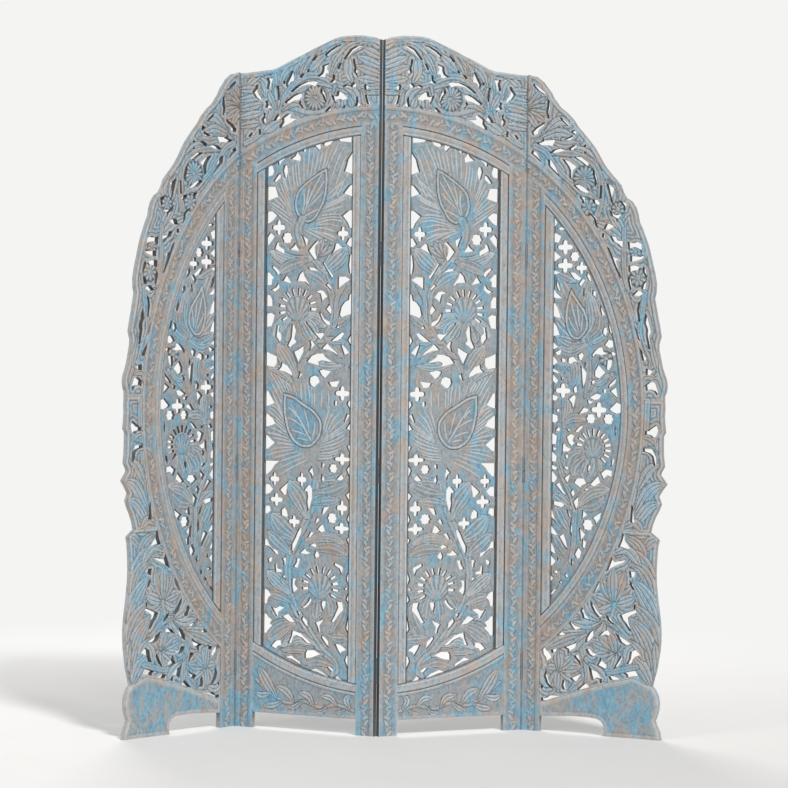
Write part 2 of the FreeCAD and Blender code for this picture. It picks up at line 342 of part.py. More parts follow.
# Openings cut through the carved boards outside the outer panel's band
OUTER_EDGE_HOLE_SHARES = (
    ((1.2, 172.8), (1.6, 173.1), (3.2, 172.0), (5.0, 170.5), (4.5, 170.1), (2.5, 171.4)),
    ((5.6, 169.0), (6.2, 168.5), (6.4, 166.5), (6.0, 165.5), (6.2, 163.8), (5.7, 163.7), (5.2, 165.5),
     (5.5, 167.0)),
    ((9.1, 164.3), (10.5, 163.3), (12.3, 161.9), (11.3, 161.8), (9.7, 163.2)),
    ((0.9, 160.3), (2.0, 161.3), (4.9, 162.9), (4.7, 162.0), (3.2, 160.9), (2.8, 159.7), (1.3, 159.4)),
    ((12.5, 160.1), (13.5, 160.6), (14.2, 160.0), (13.8, 159.1)),
    ((2.5, 157.2), (4.1, 157.8), (4.4, 158.9), (4.8, 158.0), (6.3, 158.1), (7.9, 158.1), (7.9, 157.6),
     (7.2, 156.5), (5.0, 156.7), (3.8, 156.6)),
    ((10.5, 158.1), (12.0, 158.6), (13.0, 159.2), (13.3, 158.6), (12.3, 157.8)),
    ((6.4, 154.5), (7.5, 155.4), (9.0, 155.8), (11.0, 155.2), (9.0, 154.7)),
    ((12.0, 155.7), (13.5, 156.6), (14.5, 156.3), (13.2, 155.3), (12.2, 155.0)),
    ((16.2, 156.0), (16.8, 156.7), (17.3, 156.0)),
    ((16.7, 155.0), (17.3, 154.0), (16.4, 154.3)),
    ((0.9, 154.6), (1.3, 155.5), (2.5, 154.8), (4.0, 152.1), (3.2, 152.7), (1.8, 153.9)),
    ((13.4, 153.4), (15.5, 153.4), (17.9, 151.7), (17.5, 150.9), (16.8, 151.1), (15.3, 152.2)),
    ((5.9, 152.9), (6.8, 152.7), (8.0, 151.1), (9.4, 148.1), (7.8, 149.5), (6.0, 151.2)),
    ((10.1, 152.9), (12.0, 152.3), (14.3, 150.8), (13.3, 149.9), (12.9, 147.3), (12.2, 147.9),
     (12.1, 150.0), (11.5, 151.1)),
    ((19.0, 150.3), (19.4, 149.8), (20.2, 147.8), (20.4, 146.5), (19.8, 145.3), (19.6, 147.0),
     (19.1, 148.5)),
    ((13.4, 145.9), (14.8, 146.1), (16.5, 145.3), (18.1, 144.0), (16.8, 143.8), (15.0, 144.5)),
    ((21.3, 145.9), (21.9, 145.5), (21.7, 142.3), (21.0, 142.1)),
    ((23.0, 146.4), (24.0, 145.8), (25.3, 144.9), (24.7, 142.5), (25.2, 140.5), (24.4, 141.4),
     (23.8, 143.5)),
    ((15.2, 142.9), (16.8, 142.6), (16.9, 141.2), (16.3, 141.0), (15.9, 142.0)),
    ((19.1, 142.1), (20.5, 141.9), (21.3, 141.0), (20.5, 140.4), (19.3, 141.1)),
    ((26.7, 141.9), (27.8, 141.3), (28.9, 140.9), (28.6, 139.2), (28.0, 139.1), (28.0, 140.2)),
    ((23.9, 139.3), (24.6, 138.7), (25.5, 137.9), (26.8, 138.2), (27.4, 137.9), (26.6, 137.1),
     (26.3, 135.8), (25.8, 137.0), (24.5, 137.7)),
    ((17.9, 138.7), (18.8, 138.3), (20.2, 137.3), (20.7, 134.4), (20.0, 135.1), (19.5, 137.0)),
    ((23.0, 135.7), (24.0, 135.6), (25.4, 135.0), (24.0, 134.1), (22.3, 134.1)),
    ((22.0, 133.1), (22.7, 133.0), (22.8, 132.0), (21.9, 132.0)),
    ((24.2, 132.4), (26.0, 132.1), (26.4, 131.2), (28.0, 131.0), (27.8, 129.1), (27.1, 129.4),
     (26.2, 130.3), (25.0, 130.9)),
    ((29.3, 130.9), (30.5, 130.5), (31.8, 130.9), (33.3, 130.3), (33.4, 128.3), (32.6, 128.8),
     (31.0, 129.5), (29.5, 128.7)),
    ((23.3, 129.6), (24.3, 128.9), (25.2, 126.9), (26.9, 126.2), (26.0, 125.9), (26.3, 124.9),
     (27.7, 121.2), (27.2, 121.4), (25.5, 124.6), (24.4, 127.2)),
    ((30.1, 127.1), (32.5, 126.9), (34.1, 127.5), (33.7, 126.4), (31.0, 125.6), (30.1, 125.6)),
    ((29.6, 124.5), (31.0, 124.7), (32.8, 124.2), (32.4, 123.5), (30.8, 123.2), (30.2, 122.7),
     (29.7, 122.9)),
    ((33.8, 124.4), (34.5, 123.8), (35.1, 121.5), (34.6, 121.6), (33.7, 123.0)),
    ((29.7, 121.9), (30.2, 121.0), (30.7, 118.8), (30.2, 118.0), (29.8, 119.2), (29.4, 120.8)),
    ((34.4, 120.5), (34.8, 120.0), (34.5, 118.4), (33.3, 118.4), (33.6, 119.7)),
    ((30.7, 116.8), (32.0, 118.0), (33.1, 118.0), (33.9, 117.2), (32.8, 116.5)),
    ((33.3, 115.3), (32.6, 114.9), (32.2, 112.8), (32.8, 109.5), (33.2, 110.0), (32.9, 113.0)),
    ((34.7, 112.1), (35.3, 110.8), (36.3, 107.2), (35.8, 106.2), (36.2, 102.7), (35.6, 102.7),
     (34.8, 106.4), (34.9, 107.8), (34.2, 109.5)),
    ((31.6, 108.7), (32.3, 107.8), (33.3, 105.4), (33.3, 104.7), (32.6, 105.1), (31.9, 107.0)),
    ((33.0, 103.1), (33.9, 101.9), (35.1, 100.2), (34.9, 99.6), (33.9, 99.7), (33.4, 101.5)),
    ((35.0, 97.6), (36.9, 96.9), (36.2, 95.9), (34.9, 95.9)),
    ((34.8, 93.2), (36.0, 94.1), (37.6, 93.9), (38.5, 91.5), (38.2, 90.5), (37.3, 91.7), (36.0, 92.1),
     (35.1, 91.7)),
    ((34.9, 81.2), (35.5, 81.1), (36.5, 81.9), (38.1, 82.9), (38.7, 81.5), (38.2, 79.9), (37.1, 79.3),
     (36.2, 80.1), (34.9, 80.3)),
    ((34.4, 77.0), (35.0, 76.4), (37.0, 76.4), (38.1, 74.5), (38.3, 72.2), (37.5, 72.1), (36.9, 74.5),
     (36.0, 75.3), (34.4, 75.8)),
    ((31.3, 61.5), (31.8, 61.2), (32.0, 58.0), (32.4, 57.0), (31.0, 56.9), (31.1, 58.8)),
    ((28.8, 54.0), (29.4, 53.8), (29.6, 52.0), (31.3, 50.0), (29.5, 49.9), (27.6, 50.4), (28.3, 52.0)),
    ((25.8, 47.6), (26.6, 46.3), (29.9, 47.0), (29.0, 46.2), (27.6, 45.7), (26.0, 44.9), (24.2, 43.7),
     (25.1, 46.0)),
    ((30.8, 44.1), (32.6, 43.9), (32.4, 42.8), (31.1, 42.3)),
    ((31.1, 41.6), (31.8, 40.9), (32.5, 39.4), (32.0, 39.2), (31.2, 40.3)),
    ((22.1, 41.2), (22.5, 41.0), (22.2, 39.4), (20.7, 37.6), (20.4, 37.8), (21.3, 39.6)),
    ((19.8, 35.9), (20.5, 35.1), (21.5, 33.6), (22.5, 32.4), (23.4, 31.8), (22.0, 31.5), (20.8, 32.7),
     (19.9, 34.3)),
    ((32.4, 35.4), (32.9, 35.3), (32.8, 34.2), (32.3, 34.1)),
    ((28.3, 32.3), (30.0, 33.0), (31.5, 33.5), (32.9, 34.0), (33.2, 33.3), (31.5, 32.5), (30.7, 31.9),
     (30.9, 30.5), (31.7, 28.1), (31.0, 28.4), (29.7, 30.2), (28.9, 31.0)),
    ((17.6, 33.9), (16.8, 32.9), (17.3, 32.0), (17.6, 30.9), (20.1, 30.5), (19.1, 31.3), (18.3, 32.2),
     (18.0, 33.0)),
    ((24.2, 32.3), (25.5, 31.6), (26.9, 29.7), (26.0, 29.9), (24.9, 30.8)),
    ((13.6, 29.4), (14.1, 30.2), (14.5, 29.5), (15.5, 28.8), (17.1, 28.4), (15.0, 27.5), (14.2, 28.4)),
    ((9.9, 26.0), (11.0, 27.2), (12.6, 26.5), (11.5, 25.9)),
    ((20.8, 28.3), (20.8, 26.4), (19.8, 25.2), (18.5, 24.4), (18.5, 25.6), (19.4, 27.1)),
    ((22.1, 26.4), (23.4, 27.7), (25.0, 28.2), (25.7, 27.2), (24.8, 26.5), (23.8, 26.9)),
    ((27.2, 27.5), (28.3, 26.9), (31.6, 25.0), (30.0, 24.3), (28.5, 25.1)),
    ((16.1, 24.9), (15.5, 23.0), (14.3, 22.2), (13.4, 21.0), (13.2, 22.4), (12.2, 22.8), (14.8, 23.9)),
    ((18.5, 22.8), (19.8, 22.9), (20.8, 21.9), (21.9, 21.6), (20.5, 20.8), (19.3, 21.4)),
    ((5.5, 21.9), (6.6, 22.7), (6.9, 22.0), (8.0, 21.1), (8.7, 20.0), (7.4, 19.1), (6.9, 18.0),
     (6.4, 19.8), (5.7, 20.5)),
    ((8.4, 21.9), (10.3, 22.7), (9.8, 21.5), (8.7, 21.1)),
    ((31.4, 22.8), (33.0, 23.5), (34.4, 22.2), (33.0, 21.7), (32.3, 20.9), (31.8, 19.7), (30.4, 19.5),
     (31.1, 20.8)),
    ((28.8, 21.9), (29.2, 21.0), (28.3, 19.2), (26.6, 17.8), (27.1, 19.0), (28.1, 20.5)),
    ((22.9, 21.0), (23.6, 19.8), (24.7, 18.9), (24.3, 17.5), (23.0, 18.1), (21.8, 18.6), (22.6, 19.8)),
    ((15.1, 20.8), (16.5, 21.1), (17.1, 19.4), (17.2, 18.2), (16.3, 19.5), (15.5, 20.2)),
    ((19.5, 18.5), (20.2, 17.5), (22.0, 16.9), (23.3, 15.2), (23.7, 14.2), (22.9, 14.0), (22.7, 15.0),
     (21.5, 15.3), (20.5, 14.5), (20.0, 16.0)),
    ((29.6, 17.0), (31.0, 17.5), (33.0, 17.9), (33.9, 16.5), (32.0, 16.3), (30.5, 16.0), (30.2, 16.8)),
    ((25.2, 15.9), (26.8, 16.1), (28.0, 15.7), (28.8, 15.3), (27.5, 15.1), (26.0, 14.9), (25.7, 15.2)),
    ((7.2, 16.3), (6.8, 15.9), (6.4, 14.8), (7.1, 13.0), (8.2, 11.9), (9.3, 11.5), (8.6, 12.5),
     (7.8, 13.8), (7.4, 15.2)),
    ((17.5, 16.5), (15.8, 15.5), (14.1, 14.7), (15.0, 13.9), (16.0, 14.0), (16.7, 15.2)),
    ((12.0, 14.3), (12.7, 13.8), (12.8, 12.4), (13.3, 11.7), (12.0, 11.6), (11.6, 12.6)),
    ((18.6, 13.9), (17.0, 12.5), (16.2, 11.7), (18.0, 12.2), (19.9, 12.8), (19.3, 13.3)),
    ((5.6, 12.6), (6.4, 12.0), (5.7, 11.2)),
    ((5.6, 9.0), (6.8, 8.9), (8.0, 9.8), (11.2, 9.8), (9.0, 9.1), (6.8, 8.2), (5.7, 8.2)),
)

# Openings of the outer panel's pierced board
OUTER_JALI_HOLE_SHARES = (
    ((7.5, 137.2), (8.1, 137.0), (8.7, 136.2), (8.3, 135.2), (7.5, 135.2)),
    ((7.5, 133.2), (8.3, 133.2), (9.9, 132.4), (9.3, 130.8), (7.5, 130.8)),
    ((8.6, 134.6), (9.8, 134.9), (10.9, 134.3), (9.6, 133.9)),
    ((7.5, 128.6), (8.2, 128.2), (9.9, 126.9), (8.2, 125.8), (7.5, 125.8)),
    ((7.5, 123.3), (8.2, 123.2), (9.7, 122.8), (8.6, 122.3), (7.5, 122.3)),
    ((12.3, 122.8), (14.0, 122.7), (16.0, 121.2), (15.2, 120.5), (13.5, 121.2)),
    ((17.5, 123.1), (18.5, 121.8), (18.9, 120.1), (17.9, 120.7), (17.3, 121.8)),
    ((16.0, 121.1), (17.1, 120.8), (15.6, 118.7), (15.0, 119.8)),
    ((8.4, 120.9), (9.2, 119.9), (10.0, 117.4), (9.1, 117.9), (8.5, 119.2)),
    ((7.5, 118.2), (8.2, 118.1), (8.7, 117.3), (10.3, 116.0), (8.6, 115.8), (7.5, 116.2)),
    ((19.2, 118.1), (20.3, 117.6), (20.1, 116.0), (19.1, 116.8)),
    ((16.6, 118.6), (17.1, 118.4), (16.9, 116.4), (16.5, 116.6)),
    ((7.5, 114.6), (8.4, 114.5), (9.1, 113.4), (10.1, 110.7), (8.6, 110.8), (7.5, 111.2)),
    ((21.6, 114.4), (22.2, 112.9), (22.9, 111.5), (21.8, 111.5), (21.4, 113.0)),
    ((7.5, 109.3), (8.1, 109.3), (8.9, 108.4), (9.8, 106.1), (8.1, 105.9), (7.5, 105.9)),
    ((22.3, 108.0), (23.2, 108.5), (23.7, 107.2), (23.0, 105.7), (22.1, 106.8)),
    ((23.6, 109.3), (24.3, 108.6), (24.9, 106.5), (24.2, 106.9)),
    ((7.5, 104.0), (8.1, 104.0), (9.4, 102.9), (8.2, 102.4), (7.5, 102.4)),
    ((23.8, 105.1), (25.2, 104.7), (25.4, 103.2), (24.0, 102.7), (22.7, 103.6)),
    ((20.8, 102.8), (22.2, 103.1), (22.5, 101.9), (23.6, 101.4), (22.0, 100.9), (20.3, 101.2),
     (19.3, 100.1), (19.1, 101.0), (20.0, 102.1)),
    ((8.2, 101.4), (9.5, 102.1), (10.4, 102.2), (10.0, 100.9), (8.7, 100.8)),
    ((24.5, 101.6), (25.4, 101.9), (26.1, 101.2), (25.0, 100.5)),
    ((15.0, 100.8), (16.2, 101.7), (16.9, 100.8), (16.3, 99.6), (15.4, 99.5)),
    ((12.1, 98.7), (12.2, 100.0), (13.7, 100.5), (14.8, 99.4), (15.1, 98.6), (14.0, 99.1), (13.0, 98.3)),
    ((10.1, 99.8), (11.2, 99.9), (11.7, 99.3), (11.0, 98.7), (10.3, 98.9)),
    ((7.5, 100.3), (8.1, 100.3), (9.3, 99.0), (8.3, 98.1), (7.5, 98.1)),
    ((23.5, 99.6), (25.1, 99.6), (24.9, 98.0), (24.0, 96.7), (23.3, 97.2)),
    ((19.9, 96.6), (21.0, 98.5), (22.0, 97.5), (23.2, 96.3), (21.3, 94.6), (19.9, 95.3)),
    ((17.2, 99.1), (17.7, 98.2), (17.7, 97.1), (17.1, 97.5)),
    ((15.9, 98.1), (17.2, 96.9), (17.8, 96.2), (17.5, 94.0), (16.6, 91.7), (16.3, 93.8), (16.1, 96.0)),
    ((7.5, 97.1), (8.1, 97.1), (9.9, 96.2), (9.0, 95.9), (7.5, 96.4)),
    ((7.5, 95.5), (8.1, 95.4), (9.5, 94.0), (8.6, 92.9), (7.5, 94.0)),
    ((10.1, 94.9), (11.1, 94.7), (10.6, 93.9)),
    ((19.0, 93.9), (20.0, 94.6), (20.2, 93.6), (19.2, 92.9)),
    ((26.5, 95.3), (26.1, 93.6), (24.0, 92.1), (24.1, 93.0)),
    ((13.7, 92.0), (14.8, 93.1), (15.1, 91.0), (14.0, 90.7)),
    ((22.4, 91.8), (23.6, 92.1), (23.3, 90.8), (22.5, 90.9)),
    ((24.5, 91.4), (26.3, 92.7), (26.9, 89.5), (26.0, 90.1)),
    ((18.4, 89.6), (20.4, 90.7), (22.1, 90.4), (21.5, 89.3), (20.0, 88.9)),
    ((7.5, 90.2), (8.2, 90.1), (9.6, 89.6), (8.8, 88.5), (7.5, 88.8)),
    ((12.4, 89.0), (13.8, 90.3), (14.7, 89.8), (14.1, 87.0), (13.6, 86.4), (13.3, 88.0)),
    ((24.2, 86.6), (25.0, 87.3), (26.3, 88.6), (27.6, 88.0), (27.6, 85.8), (26.3, 85.5), (25.0, 86.0)),
    ((17.8, 89.1), (19.8, 88.5), (18.3, 87.7)),
    ((15.4, 85.1), (16.5, 86.6), (17.0, 87.3), (17.2, 86.8), (18.5, 86.6), (18.2, 85.9)),
    ((8.7, 86.1), (9.8, 86.7), (10.0, 85.8), (9.1, 85.5)),
    ((7.5, 85.1), (8.2, 85.0), (9.4, 84.6), (9.5, 83.4), (8.6, 82.5), (7.5, 83.0)),
    ((14.3, 80.4), (15.4, 81.6), (16.8, 82.5), (16.7, 81.6), (15.5, 80.3)),
    ((8.6, 80.6), (9.5, 81.7), (10.3, 81.2), (9.9, 80.2)),
    ((11.9, 81.2), (13.1, 81.0), (12.8, 80.1)),
    ((26.2, 82.7), (26.6, 80.8), (26.3, 79.4), (26.0, 80.8)),
    ((11.9, 79.0), (13.2, 79.9), (14.4, 79.4), (13.9, 78.1), (14.5, 77.4), (13.4, 76.5), (12.5, 77.4)),
    ((7.5, 79.9), (8.2, 79.8), (9.3, 79.2), (9.1, 77.0), (7.5, 77.0)),
    ((10.8, 76.9), (11.3, 77.6), (12.1, 76.4), (13.5, 75.8), (12.6, 75.1), (11.3, 75.1), (10.7, 73.7)),
    ((7.9, 76.5), (9.3, 75.8), (8.0, 75.1)),
    ((7.5, 74.8), (8.2, 74.8), (9.3, 73.8), (9.1, 72.2), (7.5, 72.4)),
    ((11.5, 74.0), (12.4, 74.7), (12.7, 73.6), (12.0, 72.9)),
    ((25.2, 73.3), (26.2, 73.6), (25.8, 72.2), (25.0, 71.3)),
    ((11.0, 71.1), (12.9, 71.0), (12.2, 69.9)),
    ((7.5, 71.4), (8.3, 71.3), (9.5, 70.8), (9.0, 69.9), (7.5, 70.4)),
    ((18.4, 71.9), (19.3, 71.4), (18.9, 70.4), (18.3, 69.7), (18.2, 70.6)),
    ((22.0, 69.6), (23.4, 70.7), (25.4, 70.4), (25.3, 68.5), (24.0, 69.1), (22.9, 67.9)),
    ((7.5, 69.7), (8.2, 69.7), (9.5, 68.0), (8.6, 66.7), (7.5, 66.9)),
    ((11.4, 68.0), (13.3, 69.5), (12.9, 67.8), (12.4, 66.4)),
    ((14.2, 66.8), (15.0, 68.0), (17.3, 68.1), (18.0, 66.8), (16.6, 66.2), (16.2, 65.3), (15.5, 65.9)),
    ((18.9, 66.5), (21.3, 69.1), (22.1, 67.2), (20.1, 65.9)),
    ((8.9, 66.2), (10.2, 66.9), (11.1, 65.0), (12.4, 63.2), (10.9, 63.9)),
    ((13.3, 64.2), (14.2, 65.4), (14.7, 64.0), (14.0, 62.7)),
    ((17.2, 65.2), (18.9, 65.5), (17.8, 64.7)),
    ((14.1, 61.8), (15.8, 63.5), (15.7, 61.0), (15.0, 59.5)),
    ((8.3, 60.8), (8.3, 61.8), (11.0, 61.5), (11.7, 60.9), (10.8, 60.1)),
    ((12.2, 60.1), (13.1, 59.0), (13.9, 57.2), (12.9, 57.8)),
    ((7.5, 59.4), (8.0, 59.3), (8.6, 58.0), (9.3, 55.7), (8.3, 56.9), (7.5, 57.6)),
    ((17.0, 59.9), (18.4, 58.4), (16.7, 57.3)),
    ((19.8, 57.7), (21.0, 58.5), (22.5, 59.5), (22.1, 57.6), (20.8, 55.9), (20.5, 57.0)),
    ((13.6, 56.9), (14.1, 55.0), (13.9, 52.3), (13.3, 54.0)),
    ((7.5, 55.1), (8.0, 55.0), (9.1, 53.8), (9.9, 52.6), (8.6, 52.7), (7.5, 53.2)),
    ((16.0, 55.1), (17.9, 53.2), (16.4, 51.3)),
    ((10.1, 52.3), (11.5, 53.3), (12.3, 51.2), (12.8, 48.7), (11.7, 49.9)),
    ((17.0, 52.1), (18.2, 51.2), (17.8, 49.3), (16.9, 49.8)),
    ((7.5, 50.6), (8.2, 50.4), (8.9, 48.8), (9.4, 47.6), (8.3, 47.9), (7.5, 48.4)),
    ((14.7, 47.8), (15.8, 49.9), (16.8, 48.6), (16.4, 46.9), (15.3, 46.7)),
    ((7.5, 47.1), (8.1, 47.0), (9.3, 45.8), (8.3, 44.4), (7.5, 44.6)),
    ((9.9, 47.1), (10.5, 46.0), (9.8, 45.8)),
    ((13.9, 46.9), (14.6, 45.6), (13.9, 44.5)),
    ((8.5, 42.8), (9.5, 43.5), (10.1, 42.8), (9.4, 42.3)),
    ((11.9, 42.0), (12.5, 43.1), (13.0, 41.8), (12.4, 41.3)),
    ((7.5, 42.0), (8.7, 41.2), (7.8, 40.3), (7.5, 40.3)),
    ((10.3, 40.0), (11.2, 41.1), (11.1, 39.6)),
    ((7.6, 36.7), (8.4, 37.9), (9.7, 38.5), (8.7, 37.1)),
)

# Crosses and eight-pointed openings of the outer board
OUTER_CROSS_SHARES = (
    (11.0, 129.5, 2.3, 1.9), (11.0, 124.6, 2.3, 1.9), (15.8, 124.0, 1.7, 1.7),
    (10.8, 91.3, 2.3, 1.9), (21.3, 86.4, 2.3, 2.0),
)
OUTER_STAR_SHARES = (
    (13.8, 127.0, 1.5), (19.0, 84.0, 1.5), (24.1, 84.0, 1.6), (18.5, 55.8, 1.7),
)

# Where upright dowels cross the level seams of the outer panel
OUTER_SEAM_DOWEL_SHARES = (
    (36.4, 89.0), (33.5, 54.5), (14.5, 10.5), (22.0, 13.0), (35.5, 14.5),
)


def at(place):
    """Point on the plane of the front face, from a place given in grid shares."""
    return V(place[0] * GRID_ACROSS, 0, place[1] * GRID_UP)


def box(x0, x1, y0, y1, z0, z1):
    """Block between two corners."""
    return Part.makeBox(x1 - x0, y1 - y0, z1 - z0, V(x0, y0, z0))


def loop_face(places):
    """Flat face inside a closed ring of places."""
    points = [at(place) for place in places]
    return Part.Face(Part.makePolygon(points + points[:1]))


def board(face, front=0, back=BOARD_T):
    """Board with the face's outline, between two depths."""
    body = face.extrude(V(0, back - front, 0))
    body.translate(V(0, front, 0))
    return body


def arch_share(squeezed):
    """How much narrower than a circle the arch is drawn, and where its centre falls across."""
    if squeezed:
        return OUTER_SQUEEZE_SHARE, -OUTER_SQUEEZE_SHARE * PANEL_PITCH
    return 1.0, 0.0


def round_block(radius, squeezed, front=0, back=BOARD_T):
    """Everything inside the arch line of the given radius, between two depths."""
    share, centre_x = arch_share(squeezed)
    centre = V(centre_x, front, ARCH_CENTRE_Z)
    if squeezed:
        edge = Part.Ellipse(centre + V(0, 0, radius), centre + V(radius * share, 0, 0), centre).toShape()
    else:
        edge = Part.Circle(centre, V(0, 1, 0), radius).toShape()
    return Part.Face(Part.Wire([edge])).extrude(V(0, back - front, 0))


def ring_block(inner, outer, squeezed, front=0, back=BOARD_T):
    """Everything between two arch lines."""
    return round_block(outer, squeezed, front, back).cut(round_block(inner, squeezed, front, back))


def on_arch_line(radius, squeezed):
    """Test for points that lie on an arch line."""
    share, centre_x = arch_share(squeezed)

    def test(point):
        reach = math.hypot((point.x - centre_x) / share, point.z - ARCH_CENTRE_Z)
        return abs(reach - radius) < EDGE_GAP

    return test


def cross_ring(across, up, half_width, half_height):
    """Ring of places of a cross-shaped opening."""
    places = []
    for side, rise in ((1, 0), (0, 1), (-1, 0), (0, -1)):
        for out, along in CROSS_ARM_SHARES:
            place_across = across + half_width * (side * out - rise * along)
            places.append((place_across, up + half_height * (rise * out + side * along)))
    return places


def star_ring(across, up, radius):
    """Ring of places of an eight-pointed opening."""
    places = []
    for step in range(16):
        turn = math.radians(22.5 * step)
        reach = radius if step % 2 == 0 else radius * STAR_HOLLOW_SHARE
        places.append((across + reach * math.cos(turn), up + reach * math.sin(turn)))
    return places


def daisy_slots(across, up, reach_share, first_deg, step_deg, count):
    """Slots that part a daisy's petals."""
    reach = reach_share * GRID_ACROSS
    slots = []
    for step in range(count):
        corner = V(reach - DAISY_SLOT_L / 2, 0, -DAISY_SLOT_W / 2)
        slot = box(corner.x, corner.x + DAISY_SLOT_L, 0, BOARD_T, corner.z, corner.z + DAISY_SLOT_W)
        slot.rotate(V(0, 0, 0), V(0, -1, 0), first_deg + step_deg * step)
        slot.translate(at((across, up)))
        slots.append(slot)
    return slots


def opening_cutters(rings, crosses, stars, daisies):
    """Cutters for all the openings of one pierced board."""
    cutters = [board(loop_face(ring)) for ring in rings]
    cutters += [board(loop_face(cross_ring(*cross))) for cross in crosses]
    cutters += [board(loop_face(star_ring(*star))) for star in stars]
    for daisy in daisies:
        cutters += daisy_slots(*daisy)
    return cutters


def carved_board(outline, rings):
    """Board of full thickness with its openings cut through it."""
    holes = Part.makeCompound([loop_face(ring) for ring in rings])
    return board(loop_face(outline).cut(holes))


def dowel(middle, along):
    """Dowel across a seam, half of it in each board."""
    along = along.normalize()
    return Part.makeCylinder(DOWEL_R, 2 * DOWEL_HALF_L, middle - along * DOWEL_HALF_L, along)


def arch_dowel(radius, squeezed, turn_deg):
    """Dowel square to an arch line, at an angle round it."""
    share, centre_x = arch_share(squeezed)
    turn = math.radians(turn_deg)
    middle = V(centre_x, BOARD_T / 2, ARCH_CENTRE_Z)
    middle += V(radius * share * math.cos(turn), 0, radius * math.sin(turn))
    return dowel(middle, V(math.cos(turn), 0, share * math.sin(turn)))


def stile_dowel(middle_x, squeezed):
    """Dowel from the top of a stile into the arched band."""
    share, centre_x = arch_share(squeezed)
    turn = math.degrees(math.acos((middle_x - centre_x) / (GROOVE_R * share)))
    return arch_dowel(GROOVE_R, squeezed, turn)


def upright_dowel(x, z):
    """Dowel across a level seam."""
    return dowel(V(x, BOARD_T / 2, z), V(0, 0, 1))


def inner_dowels():
    """Dowels of an inner panel: one in each stile top, the others in the crest seam."""
    dowels = [stile_dowel(STILE_W / 2, False), stile_dowel(PANEL_PITCH - STILE_W / 2, False)]
    return dowels + [arch_dowel(BAND_R, False, turn) for turn in INNER_CREST_DOWEL_DEG]


def outer_dowels():
    """Dowels of an outer panel, in its stile top, round its band and in its level seams."""
    dowels = [stile_dowel(STILE_W / 2, True)]
    dowels += [arch_dowel(BAND_R, True, turn) for turn in OUTER_BAND_DOWEL_DEG]
    share, centre_x = arch_share(True)
    dowels.append(upright_dowel(centre_x + share * (GROOVE_R + BAND_R) / 2, ARCH_CENTRE_Z))
    for place in OUTER_SEAM_DOWEL_SHARES:
        middle = at(place)
        dowels.append(upright_dowel(middle.x, middle.z))
    return dowels


def leaf_block(edge_x, into_x, pin_y, into_y, low):
    """Plate of one leaf, flush with the stile's edge."""
    x0 = min(edge_x, edge_x + into_x * LEAF_T)
    y0 = min(pin_y, pin_y + into_y * LEAF_W)
    return box(x0, x0 + LEAF_T, y0, y0 + LEAF_W, low, low + HINGE_L)


def hinge_pocket(edge_x, into_x, pin_y, into_y):
    """Room for the leaves and their barrels in one stile's edge."""
    axis_x = edge_x - into_x * EDGE_GAP
    shapes = []
    for middle in HINGE_Z:
        low = middle - HINGE_L / 2
        shapes.append(leaf_block(edge_x, into_x, pin_y, into_y, low))
        foot = V(axis_x, pin_y, low - BARREL_CLEARANCE)
        shapes.append(Part.makeCylinder(KNUCKLE_R + BARREL_CLEARANCE, HINGE_L + 2 * BARREL_CLEARANCE, foot))
    return Part.makeCompound(shapes)


def hinge_screws(edge_x, into_x, pin_y, into_y):
    """Countersunk screws of one stile's edge, three to a leaf."""
    inwards = V(into_x, 0, 0)
    screws = []
    for middle in HINGE_Z:
        for step in (-1, 0, 1):
            start = V(edge_x, pin_y + into_y * (PIN_OFFSET + SCREW_INSET), middle + step * SCREW_STEP)
            head = Part.makeCone(SCREW_HEAD_R, SCREW_R, LEAF_T, start, inwards)
            shank = Part.makeCylinder(SCREW_R, SCREW_L, start + inwards * LEAF_T, inwards)
            screws.append(head.fuse(shank).removeSplitter())
    return screws


def knuckle_spans(low, holds_pin):
    """Height spans of the knuckles that belong to one leaf, and of those that don't."""
    third = HINGE_L / 3
    outer = [(low, low + third - KNUCKLE_GAP), (low + 2 * third + KNUCKLE_GAP, low + HINGE_L)]
    middle = [(low + third, low + 2 * third)]
    return (outer, middle) if holds_pin else (middle, outer)


def hinge_leaves(edge, holds_pin, screws):
    """Leaves for one stile's edge, with their knuckles on the hinge axis."""
    edge_x, into_x, pin_y, into_y = edge
    axis_x = edge_x - into_x * EDGE_GAP
    bore_r = PIN_R if holds_pin else PIN_R + PIN_RUNNING_GAP
    leaves = []
    for middle in HINGE_Z:
        low = middle - HINGE_L / 2
        own, other = knuckle_spans(low, holds_pin)
        leaf = leaf_block(edge_x, into_x, pin_y, into_y, low)
        for start, end in other:
            foot = V(axis_x, pin_y, start - KNUCKLE_GAP)
            room = Part.makeCylinder(KNUCKLE_R + BARREL_CLEARANCE, end - start + 2 * KNUCKLE_GAP, foot)
            leaf = leaf.cut(room)
        for start, end in own:
            leaf = leaf.fuse(Part.makeCylinder(KNUCKLE_R, end - start, V(axis_x, pin_y, start)))
        leaf = leaf.cut(Part.makeCylinder(bore_r, HINGE_L, V(axis_x, pin_y, low)))
        leaves.append(leaf.cut(Part.makeCompound(screws)).removeSplitter())
    return leaves


def hinge_pins(edge):
    """One pin for each hinge of a fold."""
    axis_x = edge[0] - edge[1] * EDGE_GAP
    feet = [V(axis_x, edge[2], middle - HINGE_L / 2) for middle in HINGE_Z]
    return [Part.makeCylinder(PIN_R, HINGE_L, foot) for foot in feet]


def tenon(x0, low, height):
    """Tenon that crosses the line between a rail and a stile."""
    y0 = (BOARD_T - TENON_T) / 2
    return box(x0, x0 + TENON_L, y0, y0 + TENON_T, low, low + height)


